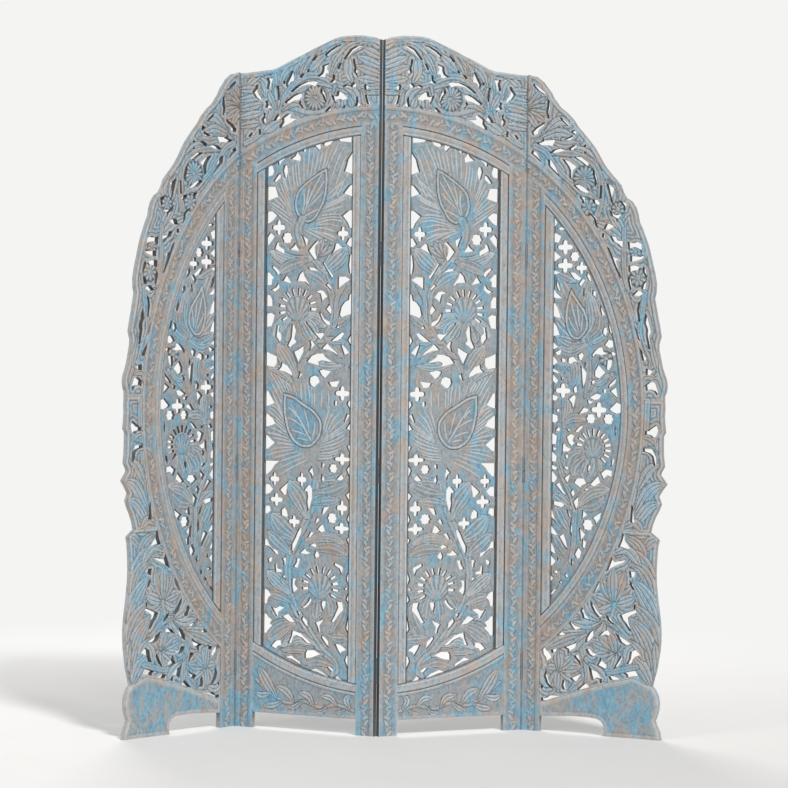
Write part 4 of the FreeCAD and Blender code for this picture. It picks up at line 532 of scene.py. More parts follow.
INNER_FILLING: tuple[Ornament, ...] = (
    stem(1.8, 2, (22.8, 131.5), (20.6, 127.2), (18, 124.2), (15.8, 121), (14.2, 117.5), (13.4, 113.5),
         (13.4, 109.5), (15, 106), (18, 102.8), (21, 99.5), (23.2, 96), (25, 92), (26, 89)),
    stem(1.3, 2, (10.2, 118.5), (12.2, 115), (12.4, 111), (12.8, 108)),
    stem(2.2, 2, (18.9, 76.5), (18, 70), (18.1, 65), (19, 60.5), (20.8, 56), (23.3, 51), (25.6, 46.5),
         (26.2, 42.5), (25.8, 38.5), (25, 35), (23.2, 31.5), (20.5, 27.8), (18.4, 25), (15.8, 21.8),
         (12.6, 19.3), (11.6, 17), (12.6, 14)),
    petal((21.5, 131), (20, 143), (16.5, 158.5), 25, 0), petal((18.6, 72), (20.6, 83), (24, 95.5), 25, 0),
    *doubled(rib((8.9, 154.3), (10.6, 151), (13, 144.5)), rib((11.9, 156.1), (13.6, 153), (15.3, 149.5)),
    rib((15.6, 154.3), (16.1, 152), (16.8, 149.5)), rib((18, 153.8), (18.5, 151.5), (19.4, 147.5)),
    rib((20.7, 156.2), (20.9, 152.6), (21.4, 147.5)), rib((24.1, 151.2), (23.9, 148.4), (23.4, 145.5)),
    rib((25.8, 150.4), (25.6, 147.9), (25, 144)), rib((28, 149), (28.2, 146.7), (26.8, 142.5)),
    rib((29.6, 146), (28.2, 143), (26.2, 139)), rib((31.4, 143.6), (28.6, 140.6), (26, 137.6)),
    rib((32.7, 140.8), (29.4, 139), (26.2, 136.9)), rib((32.2, 139.2), (29.2, 136.9), (25.8, 134.7))),
    *doubled(rib((9.2, 148), (10.6, 145.5), (12.4, 142)), rib((9.7, 146.8), (12, 145), (15.2, 142.4)),
    rib((8.6, 143.6), (11.6, 141.6), (15.6, 140)), rib((9.4, 141.8), (12.6, 140.2), (16.6, 138.8)),
    rib((11.4, 137.3), (13.8, 137.4), (17, 137)), rib((10.7, 135.4), (14.5, 135.9), (19.6, 134.6), width=0.5),
    rib((12.4, 132.6), (16.6, 133.7), (20.8, 133.6)), rib((13.8, 129.6), (17.5, 131.2), (21.9, 133.2), width=0.5),
    rib((12.6, 131), (14.6, 132), (17, 132.6))),
    Pod(((15.5, 149.5), (17.3, 148.7), (19.9, 147.1), (22.3, 145.4), (24.2, 143.5), (25, 141), (24.9, 138.8),
         (24, 136.9), (22.8, 135.8), (20.9, 135.2), (18.9, 136.2), (17.4, 138.3), (16.2, 140.8), (15.6, 143),
         (15.3, 146.3), (15.5, 149.5))),
    rib((16.9, 148.2), (20, 143), (22.6, 137), width=0.5), rib((22.4, 144), (22.2, 140.6), (22.8, 137.6)),
    rib((16.3, 146.2), (18.2, 143.4), (20.4, 140.6)), rib((16.6, 143.2), (18.8, 141.2), (21.2, 139.2)),
    rib((17.8, 138.8), (20, 137.9), (22.2, 136.8)), rib((20.2, 146), (21, 143.4), (21.6, 140)),
    stem(2.4, 2, (22.9, 136), (23.8, 134), (23.8, 132.1), (22.9, 129.6)),
    *doubled(rib((13.9, 86.6), (14.8, 83.8), (15.8, 80.4)), rib((10.9, 85.1), (13.2, 82.6), (15, 78.6)),
    rib((8.6, 82.6), (11.4, 80.6), (15.4, 78)), rib((9.8, 80.1), (11.9, 79), (15.8, 77)),
    rib((9.1, 78.4), (11.4, 77), (16.4, 75.6)), rib((10.5, 75.6), (13.4, 74.4), (17.2, 74)),
    rib((12, 73.4), (14.6, 72.8), (17.4, 72.6))), *doubled(rib((14.5, 90.6), (14.3, 88.4), (14.6, 85.6)),
    rib((18.5, 90.8), (18.6, 89.1), (18.5, 86.6)), rib((20.6, 92.3), (20.1, 90), (20, 87.4)),
    rib((22.7, 92.6), (22.6, 89.8), (22.4, 88.2)), rib((28.1, 94), (26.7, 92.4), (25.3, 90.2)),
    rib((29.9, 94.9), (28.5, 93), (27.2, 90.8)), rib((32.3, 95.6), (30.4, 93), (28.4, 89.6)),
    rib((31.2, 89.8), (30, 87.4), (28.4, 84.6)), rib((31.6, 86.6), (29.9, 85.7), (28, 83.4)),
    rib((32.4, 85), (30.7, 83.8), (27.9, 81.6)), rib((30.8, 82), (29.2, 81), (27, 79.2)),
    rib((32.6, 79.1), (30.2, 78.8), (26.4, 77.8)), rib((30.2, 76.4), (28, 76.4), (24.8, 76)),
    rib((33.1, 73), (29.7, 74), (24.6, 75)), rib((28.9, 71.6), (25.7, 72.6), (22.2, 73.8), width=0.5),
    rib((29.1, 67.8), (24.8, 70.3), (20.6, 72.2), width=0.5)),
    Pod(((27.8, 89.8), (27.9, 85.9), (27.4, 82.5), (26.5, 79.5), (25, 77.2), (23.1, 75.9), (21.2, 75.5), (19.1, 76),
         (17.3, 77.9), (16.4, 80), (16.5, 82.4), (17.6, 84.2), (19.2, 85.7), (22, 87.3), (24.8, 89),
         (27.8, 89.8)), 0.65),
    rib((25.6, 86.8), (22.8, 82.5), (19.6, 77.4), width=0.55), rib((26.6, 83.2), (24.6, 82.6), (22.4, 81.2)),
    rib((25.4, 80), (23.5, 79.6), (21.2, 78.8)), rib((26.4, 86), (25.2, 85.2), (24, 83.6)),
    rib((21.6, 85.5), (20.7, 82.5), (20, 79.4)), rib((23.8, 77.8), (22.4, 77.8), (20.6, 77.4)),
    rib((18.4, 82.4), (18.6, 80), (19.2, 78)),
    *fan((18.5, 126.2), ((13.3, 128.8), (14.5, 130.2), (16.3, 131), (18.2, 130.8)), 2.0),
    petal((16, 122.3), (12.5, 125.5), (9.2, 128.6), 5, 4), petal((20, 125.8), (26, 125), (32.8, 127.8), 3.5, 3),
    petal((21.5, 125.2), (27, 123.5), (30, 121.5), 3, 2), petal((15.3, 118.5), (18, 121), (21.8, 122.4), 3, 3),
    petal((13.2, 107.5), (10.5, 109.2), (8, 111.2), 2.6, 3), petal((15.5, 104.5), (12.4, 104), (9.3, 103.8), 2, 2),
    petal((17.5, 102.6), (13.5, 101.6), (9.8, 99.4), 2, 2), petal((21.5, 98.8), (15.5, 97.2), (9.5, 97.5), 2, 2),
    petal((24.5, 95), (27.5, 99.5), (30, 103), 4.5, 4), petal((25.5, 93), (29.5, 96), (33, 96.5), 2.4, 2),
    petal((21, 111), (18, 109.5), (15.3, 107.5), 3.5, 3), petal((22.5, 109.5), (20.3, 107), (18.5, 103.8), 5, 4),
    petal((25, 109), (26.5, 106.5), (27.5, 103.5), 3, 3), petal((26, 110.5), (29, 108), (31.5, 105), 3.5, 3),
    Shell((24, 112.3), 3.2),
    petal((17, 66.8), (12.5, 67.2), (8.6, 69), 2.2, 2), petal((18.3, 63.5), (13.5, 64), (8, 66.3), 3, 3),
    petal((19, 60.8), (15, 61.5), (10.8, 61.9), 2.4, 2), petal((20.5, 57.5), (22.5, 62), (26.3, 66.6), 5.5, 4),
    petal((23.8, 51.5), (27.5, 54), (31.3, 57.6), 6, 5), petal((25.5, 47.3), (29, 50), (32.6, 53), 3, 3),
    petal((20.5, 50.8), (14.5, 51.6), (9, 50.4), 3.4, 3), petal((19, 48.8), (13, 49), (8, 47.2), 3, 3),
    petal((26, 36.8), (29, 39.5), (32.6, 42.3), 4, 4), petal((25.5, 34.3), (29, 35.8), (32.3, 36.2), 2.4, 2),
    petal((23, 29.5), (26.5, 29.5), (31, 31.2), 2, 2), petal((24.5, 28.6), (28.5, 27), (32.4, 23.8), 5, 4),
    petal((18.5, 23.6), (23, 24.6), (28, 22), 3.6, 3), petal((15.5, 20.8), (22, 21.5), (28.5, 21.3), 2, 2),
    petal((12.6, 26.8), (10.5, 30.5), (9, 34.6), 3, 3), petal((13.3, 25.6), (10.8, 25.4), (8, 25.3), 2.4, 2),
    petal((12.8, 18), (17, 19), (21, 18), 2.8, 3),
    petal((14.5, 36.5), (13.8, 33.5), (13.5, 30.5), 3, 3), petal((17, 35.5), (17.3, 32.5), (17.5, 30), 3, 3),
    petal((19.5, 36.5), (21.2, 34.4), (22.5, 32.5), 2.6, 2), petal((12.5, 37), (10.5, 36.4), (8.5, 36), 2.2, 2),
    Shell((16.5, 38.7), 3.3),
)

INNER_CREST: tuple[Ornament, ...] = (
    leaf(2.4, (-1, 171.6), (6.8, 173.2)), leaf(2.4, (-1, 173.4), (7.2, 176.4)), leaf(2.4, (-1, 175.6), (6.6, 178.8)),
    leaf(2.4, (-1, 178), (5.2, 181)), leaf(2.2, (-1, 180.4), (3, 183)),
    leaf(3.2, (14.3, 173.8), (12.8, 177), (9.9, 180.1), (6.3, 181.8), (2.6, 182.8)),
    leaf(2.2, (11.2, 176), (9.9, 179), (7.6, 180.8), (4, 181.4)),
    leaf(2.6, (20.5, 176), (19.6, 179), (17.6, 181.5), (13.6, 183.4)),
    leaf(2.2, (17.8, 177.3), (16.5, 179.8), (14.6, 181.5), (11, 182.8)),
    leaf(2.3, (23.4, 174.6), (21.7, 178), (19, 181)), leaf(2.1, (25.4, 175), (23.7, 177.7), (21, 179.9)),
    leaf(2.3, (27.8, 173.1), (25.8, 176.3), (23, 178.6)), leaf(2.1, (29.6, 172), (28.1, 175.2), (25.3, 177.4)),
    stem(1.6, 2, (0.3, 169.3), (5, 169.3), (9.5, 169.8), (13, 170.8), (16, 171.8), (18.5, 172), (21, 171.3),
         (24, 170.2), (26.5, 169), (28.8, 167)),
    stem(1.7, 2, (0.3, 170.8), (5, 170.6), (9, 170.8), (12.5, 171.6), (16, 173.2), (19.5, 174.1), (23, 173.5),
         (25.8, 171.6), (28, 169), (29.6, 166.3), (31.5, 162.8), (33.5, 160)),
    stem(1.6, 2, (31.4, 174.5), (31.2, 171), (31.6, 167.5), (32.5, 164), (34, 161), (36.5, 158.3), (40, 156.5)),
    stem(1.4, 1, (13.2, 171), (13.6, 168.3), (14.7, 166), (17, 164.6), (21.1, 164.3), (25.4, 165.4), (28.4, 166.4)),
    leaf(1.8, (12.6, 170.4), (12.6, 167.3), (12, 164.8)), leaf(1.7, (10.4, 168.4), (10.8, 165)),
    leaf(2.6, (10.2, 170.8), (7.4, 169.2), (6, 165.3)), leaf(2.0, (8.9, 168), (8, 165.2)),
    leaf(2.1, (5.2, 169.8), (4.4, 167.1), (4.1, 164.8)), leaf(2.6, (8.2, 172.3), (9.4, 174.8), (9, 178.6)),
    leaf(2.4, (16, 179.6), (18.6, 177.6), (20.8, 175.2)), leaf(2.0, (30.5, 165.5), (30.4, 168.3), (31, 172)),
    leaf(1.8, (31, 165.7), (32, 167.8), (33.4, 170.4)), leaf(2.3, (36.3, 174), (34.4, 172.3), (33.9, 169.3)),
    leaf(2.0, (35.5, 174.6), (37.6, 173.6), (40, 171.6)), leaf(2.6, (28.8, 165.3), (26, 167), (23.3, 166.5)),
    leaf(2.6, (29.3, 162.2), (31, 161.5), (34.6, 159.2)),
    leaf(2.2, (42.4, 170.8), (36.4, 171)), leaf(2.2, (42.4, 168), (34.8, 169)), leaf(2.2, (42.4, 165.5), (34.5, 167)),
    leaf(2.2, (42.4, 163.2), (34.6, 164.8)), leaf(2.2, (42.4, 161), (35, 162)),
    Flower((19, 168.2), 3.3, 17, 0.16),
)

OUTER_FILLING: tuple[Ornament, ...] = (
    stem(1.5, 2, (10, 82), (9.5, 78), (9.5, 74), (10.5, 70), (12, 66.5), (13.8, 63), (14.8, 59.5), (14.6, 55),
         (14.5, 50), (13.8, 46)),
    stem(1.6, 2, (17.5, 103), (18.5, 97), (17.8, 90)),
    petal((17, 102), (15.4, 112), (13.4, 123), 15, 0),
    rib((8.7, 122.1), (10.2, 119.2), (11.8, 115.8)), rib((10.4, 121), (11.6, 119.4), (12.6, 117.4)),
    rib((17.9, 121.4), (17.1, 119.6), (15.6, 116.4)), rib((17.9, 119.7), (17.4, 117.5), (16.6, 114.6)),
    rib((19, 118.6), (18.8, 116), (17.8, 112.6)), rib((19.4, 115.8), (18.6, 113), (18.2, 110.4)),
    rib((21.3, 115.9), (19.8, 114), (18.6, 110.6)), rib((21.3, 112.6), (20.4, 110.6), (18.4, 108.2)),
    rib((21.9, 110.6), (20.4, 108.4), (17.8, 106.4)), rib((21.6, 107), (19.6, 106.2), (17, 105)),
    rib((9, 114.1), (10, 112), (11.4, 109.4)), rib((8.8, 111), (10.4, 109.4), (11.9, 107.6)),
    rib((9, 109.3), (10.6, 107.4), (13, 105.6)), rib((8.7, 105.6), (11.5, 105.5), (15, 104.6)),
    petal((8, 123), (11.5, 121.8), (14.6, 120), 2.6, 3), petal((17, 105), (19.5, 110), (18, 118), 4, 3),
    petal((18, 105), (21, 108), (21.5, 112.5), 2.6, 2), petal((18.5, 104), (22, 106), (24.5, 109.5), 2.6, 3),
    Pod(((13.1, 118.4), (14, 116.8), (15.5, 114.8), (16.9, 112.9), (17.8, 110.9), (18.1, 109.2), (17.8, 107.5),
         (16.9, 106.2), (15.6, 105), (14, 105), (12.8, 106), (12, 107.5), (11.5, 109.5), (11.4, 111.7),
         (11.7, 113.8), (12.3, 116.1), (13.1, 118.4)), 0.65),
    rib((12.8, 116.1), (13.7, 112.4), (15.4, 107)), rib((14.8, 114.4), (15.2, 111.7), (15.6, 108.4)),
    rib((16.6, 111.8), (16.3, 109.7), (16, 106.8)), rib((12.3, 110.9), (13.4, 108.7), (14.8, 106.8)),
    petal((17.5, 104), (13, 103), (8.5, 105.4), 2.6, 2), petal((17.8, 103.6), (13, 101.6), (8.5, 103.2), 2.2, 2),
    petal((9, 98.5), (12, 98.8), (13.3, 96.5), 2), petal((14.5, 93), (15, 97), (13.5, 100.5), 4, 3),
    petal((12, 93.5), (10.5, 95.5), (8.8, 96.5), 1.8), petal((18, 88.5), (21, 93), (26, 96.5), 2.2),
    petal((19, 94), (21.5, 93.6), (24.5, 96), 2), petal((11.5, 82), (12.5, 88), (11.5, 93.5), 3.6, 3),
    petal((11.5, 82.5), (14, 84), (18, 83.8), 2.4), Flower((23.3, 100), 1.9, 6),
    petal((16, 75), (13.5, 73.5), (12, 69), 3, 3), petal((17.5, 73.5), (15, 71), (14.5, 68.5), 3, 3),
    petal((18.5, 73), (17.5, 70.5), (17, 68), 2.2), petal((20, 73), (20.3, 71), (19, 68.5), 2.6, 3),
    petal((21.5, 73), (22.5, 71.5), (22, 70), 2), Shell((19.9, 76.2), 2.5),
    petal((16, 60.5), (20, 61), (23.5, 63.5), 3.2, 3), petal((15.5, 61), (19.5, 64.8), (25, 65.5), 4.5, 4),
    petal((13.5, 60), (10.5, 62), (8, 63.5), 2.8), petal((12.8, 54), (10.5, 57), (9, 60.5), 3, 3),
    petal((12, 47.5), (9.5, 50.5), (8.5, 53.5), 3, 3), petal((9, 38), (9.8, 41), (10.5, 43.5), 1.8),
)

OUTER_CARVED: tuple[Ornament, ...] = (
    *fan((-0.6, 166), ((1.5, 172.6), (4, 171.5), (5.6, 169.4), (6, 167.2), (6, 165), (5.2, 162.8), (3, 161)), 2.0),
    leaf(2.6, (5, 160), (9, 163), (12.5, 162)), leaf(2.4, (4, 158.6), (9, 160), (13.5, 158.8)),
    leaf(2.2, (7, 157.6), (11, 156.6), (15.4, 157.2)), leaf(2.2, (2.5, 157), (5, 155.8), (8, 154)),
    stem(1.6, 2, (2, 156.5), (5, 155), (7, 152.5), (10, 149), (13, 146.5), (16, 143.8), (19, 143), (21.5, 139)),
    leaf(2.2, (12.5, 155.5), (16, 155), (20, 152.5)),
    stem(1.8, 2, (8.5, 154.6), (14, 154), (18.8, 151.8), (21, 148.5), (21.5, 145), (21.5, 141), (20.5, 138)),
    Flower((16.7, 147.6), 3.3, 15, 0.16),
    leaf(2.5, (26, 146.4), (27.7, 143.5), (27, 140.5)), leaf(2, (23.2, 147), (25, 143), (24.5, 140)),
    leaf(3, (24, 138.5), (26.5, 135.5), (28, 132.5)), leaf(2.6, (20, 136), (23.5, 134.5), (28.5, 131)),
    Flower((18, 140), 2.2, 8), Flower((26.4, 139.4), 1.9, 8),
    stem(1.4, 2, (28.3, 134), (28.3, 127), (28.6, 122), (29.6, 118.5)),
    Flower((31.6, 128.2), 1.7, 7), Flower((32.4, 121.4), 2.4, 9),
    leaf(2.2, (30.4, 117), (32.4, 115.8), (34.4, 118)),
    stem(1.5, 2, (34.4, 117.5), (33.8, 112), (33, 107), (34.6, 102.5), (36.6, 98)),
    stem(1.3, 1, (31.5, 109), (33, 104), (35, 99)), leaf(1.8, (36.4, 105), (37.2, 101), (38.4, 96.5)),
    leaf(2.2, (33.5, 92), (34.6, 95.4), (38, 95)), stem(1.3, 1, (30.4, 104), (31.6, 98), (32.4, 92)),
    stem(1.9, 2, (30.4, 89), (30.4, 76), (29.6, 66), (27.8, 58)),
    stem(1.9, 2, (33, 90), (33, 76), (32, 66), (30.2, 58)), stem(1.6, 2, (35.6, 89), (35.2, 80), (34.2, 71)),
    leaf(1.8, (34, 79.5), (36.5, 79.3), (38.4, 77.4)), leaf(2.2, (33.5, 75.6), (36.4, 75.8), (37.6, 73)),
    leaf(2.8, (33.4, 66), (36.4, 71), (39.4, 72.4)), leaf(3.6, (32.6, 59.5), (36.6, 65.5), (40.6, 67.6)),
    leaf(3.2, (32.2, 56), (36.2, 61), (39.6, 62.4)), leaf(3.2, (34.6, 49.5), (37, 52), (39, 52.8)),
    leaf(2.4, (29.4, 55.6), (32.4, 56.8), (34.8, 54.6)), leaf(4.2, (29.8, 53), (33, 50.6), (35.4, 46)),
    leaf(3.6, (37.8, 39), (36.4, 44.6), (32, 48.4), (28, 46.9)),
    leaf(3.4, (38, 35), (37, 41), (34, 45), (30.6, 45.8)), leaf(4.8, (39.2, 27), (38, 33.4), (35, 38.4), (31.9, 42)),
    leaf(4.0, (39.3, 22), (38.4, 28), (35.4, 32.4), (32, 35.4)),
    leaf(5.4, (37.6, 14.6), (37.8, 20), (35.4, 26.4), (31, 32)), leaf(3.8, (37.5, 14.4), (35.2, 18.4), (32, 21.6)),
    leaf(2.4, (39, 16), (39, 21), (38.4, 26)), leaf(2.8, (26.6, 48.6), (30.4, 49.6), (34.4, 45.4)),
    leaf(3.0, (26.6, 35.2), (23.3, 36.4), (20.3, 37.4)), leaf(3.4, (26.4, 35.9), (24.6, 39.1), (23.3, 42.5)),
    leaf(3.2, (27.4, 34.7), (30.1, 33.8), (32.5, 34.4)), leaf(3.6, (26.8, 35.4), (29.2, 37.6), (32, 40.4)),
    leaf(3.2, (27, 35.2), (30, 36.1), (33, 37.4)), leaf(3.6, (26.6, 35.6), (28, 39.8), (29.8, 44)),
    leaf(3.4, (26.4, 35.9), (26.1, 40.5), (26.4, 44.8)), leaf(2.4, (26.2, 34.9), (24.2, 33.6), (22, 33.2)),
    stem(1.7, 2, (18.9, 12.1), (19.1, 17), (18.2, 20.8), (17.6, 23.1), (17.9, 25.4), (19.3, 27.5), (21.5, 29.5),
         (24.2, 31)),
    stem(1.7, 2, (22, 30.3), (24.8, 30.4), (27.3, 29.3), (30.2, 26.6), (32.7, 24.7), (34.9, 23.1)),
    stem(1.2, 1, (26.7, 35.2), (26.3, 32.8), (25.4, 30.6)), leaf(2.4, (22.6, 30.3), (18.7, 29.1), (14.7, 29.9)),
    leaf(2.4, (18.1, 27.4), (14.8, 26.5), (11.4, 27)), leaf(3.2, (17.8, 26.6), (12.5, 24.8), (7.1, 22.2)),
    leaf(2.8, (18.7, 26.3), (16.3, 24.3), (14, 21.6)), leaf(2.6, (22, 30.7), (18.8, 32.4), (17.8, 35.6)),
    leaf(1.7, (16.7, 31.3), (14.4, 30.9)), leaf(1.7, (13.9, 28.3), (11.8, 28.4)),
    leaf(2.4, (23.9, 30.1), (23.2, 28), (21, 26.2)),
    stem(1.6, 1, (6, 21.1), (6.6, 18), (5.8, 14.8), (6.7, 12.3), (9, 11.2)),
    stem(1.5, 2, (18.8, 20.1), (21.6, 17.9), (25.6, 17.1), (29.4, 17.9), (33.3, 18.9)),
    leaf(2.4, (19.9, 18.8), (22.8, 16.7), (25, 14.3)), leaf(2.4, (33, 24.8), (30.8, 22.8), (30.1, 19.3)),
    leaf(2.0, (17.7, 17.4), (17.2, 14.3), (15.3, 11.7)), leaf(2.2, (14, 11.3), (16.1, 13.2), (18.3, 15)),
    leaf(2.2, (31.6, 25.6), (34, 23.6), (35.4, 20.6)),
    *fan((27.2, 22.8), ((29.1, 18.9), (25.8, 17.6), (21.7, 19.2), (20.4, 21.6), (19.8, 25.2)), 2.9),
    *fan((27.2, 22.8), ((29.6, 25.5), (22.4, 26.4), (28.2, 28.1), (25.5, 27.5)), 2.7),
    *fan((10.9, 16.9), ((7.9, 20.1), (7, 17), (8.6, 11.7), (10.7, 11.5), (16.2, 14.3), (17.3, 18), (15.2, 20.8),
                        (10.6, 21.8)), 3.0),
    leaf(2.2, (4.6, 12.6), (7, 10.6), (10.4, 11.6)),
)

RAIL_LEAVES: tuple[Ornament, ...] = (
    stem(0.9, 1, (6, 6.4), (11, 7.6), (16, 6.6), (21, 8), (26, 7.2), (31, 9.6), (35.4, 13)),
    leaf(1.7, (7, 7), (8.2, 9), (7, 10.6)), leaf(1.7, (11, 7.6), (13, 9.4), (15.6, 9.6)),
    leaf(1.3, (14, 7), (15.4, 5.6), (17.6, 5.6)), leaf(1.9, (18, 7), (19.4, 9.4), (22.4, 10.2)),
    leaf(1.5, (21.4, 8), (23.4, 6.4), (25.4, 5.8)), leaf(2.2, (24, 7.8), (26, 10.2), (29, 11.6)),
    leaf(1.8, (27.6, 7.4), (30, 6.4), (33, 6)), leaf(3.2, (29.4, 8.8), (31.8, 12), (34.6, 16.4)),
    leaf(1.9, (31, 9.4), (33.6, 8.8), (35.6, 9.4)), leaf(1.2, (8.6, 6.6), (10, 5.6), (11.6, 5.6)),
)


CREST_TOP: tuple[Place, ...] = (     # the crest's upper edge
    (0, 183), (5, 184.2), (11, 184.2), (16, 182.6), (23, 179.6), (30, 176.6), (36, 175.7), (42, 175.2),
)


@dataclass(frozen=True)
class Round:
    """The round figure that runs over all four panels, centimetres."""
    centre_up: float = 85.85
    groove: float = 74.9        # radius of the groove between its band and its bead
    bead: float = 2.6           # width of the bead
    band: float = 4.9           # width of the band
    squeeze: float = 0.905      # how much narrower it is drawn on the outer panels

    def across(self, face: CarvedFace, inner: bool) -> np.ndarray:
        """Distance of each place across from the centre fold, as on a full circle."""
        return face.across if inner else face.across / self.squeeze + PITCH

    def radius(self, face: CarvedFace, inner: bool) -> np.ndarray:
        """Distance of each place from the figure's middle, as on a full circle."""
        return np.hypot(self.across(face, inner), face.up - self.centre_up)

    def turn(self, face: CarvedFace, inner: bool) -> np.ndarray:
        """Way round the figure, in centimetres along its groove."""
        return np.arctan2(face.up - self.centre_up, self.across(face, inner)) * self.groove


FIGURE = Round()


@dataclass(frozen=True)
class Vine:
    """A running vine in a sunk strip: a waving stalk with three leaves on either side of each wave."""
    width: float                # width of the sunk strip, centimetres
    period: float               # length of one wave, centimetres
    stalk: float = 0.13         # half the stalk's width, centimetres
    leaves: tuple[tuple[float, float, float], ...] = (      # share of a wave, lean in radians, size
        (0.02, 0.62, 1.0), (0.20, -0.5, 0.7), (0.34, 1.2, 0.85))

    def lay(self, face: CarvedFace, across: np.ndarray, along: np.ndarray) -> None:
        """Cut the vine.

        Args:
            face: The face being carved.
            across: Place across the strip, 0 at its middle, centimetres.
            along: Place along the strip, centimetres.
        """
        field = smooth(self.width / 2.0 - np.abs(across), -0.05, 0.12)
        wave = (along + 0.5 * np.sin(along * 0.53)) / self.period * math.tau
        swing = 0.2 * self.width
        beside = np.abs(across - swing * np.sin(wave)) - self.stalk
        depth = np.where(beside < 0, 0.5, 2.3)
        line = 0.35 * groove(beside, 0.08, 0.09)
        ridge = np.where(beside < 0, 0.35, 0.0)
        warm = np.zeros(len(across))
        for half, sign in ((0, 1.0), (1, -1.0)):
            for start, lean, size in self.leaves:
                count = along / self.period - half * 0.5 - start + 0.5
                local = (count % 1.0 - 0.5) * self.period
                chance = np.abs(np.sin(np.floor(count) * 12.9898 + 7.1 * start + half)) * 437.585 % 1.0
                px = sign * across * math.sin(lean) + local * math.cos(lean)
                q = sign * across * math.cos(lean) - local * math.sin(lean)
                long, wide = 0.18 * self.period * size, 0.15 * self.width * size
                px = px - long * 0.6
                v = q / (wide * np.clip(1 - (px / long) ** 2, 1e-3, 1))
                hit = (np.abs(v) < 1.0) & (np.abs(px) < long)
                rim = ~hit & (np.abs(v) < 1.5) & (np.abs(px) < long * 1.15)
                depth = np.where(hit, 0.3 + 1.0 * v ** 2 + 0.9 * groove(v, 0.0, 0.25), depth)
                # dark lines of painted shade round the leaves and the stalk, painted highlights on the leaves
                line = np.where(hit, 0.3 * groove(v, 0.0, 0.25), np.where(rim, 0.62, line))
                ridge = np.where(hit, (0.3 + 0.7 * chance) * groove(np.abs(v), 0.5, 0.4), ridge)
                warm = np.where(hit, 0.16 * (chance - 0.4), warm)
        face.deep += depth * field
        face.line += line * field
        face.ridge += ridge * field
        face.warm += (warm + 0.02) * field


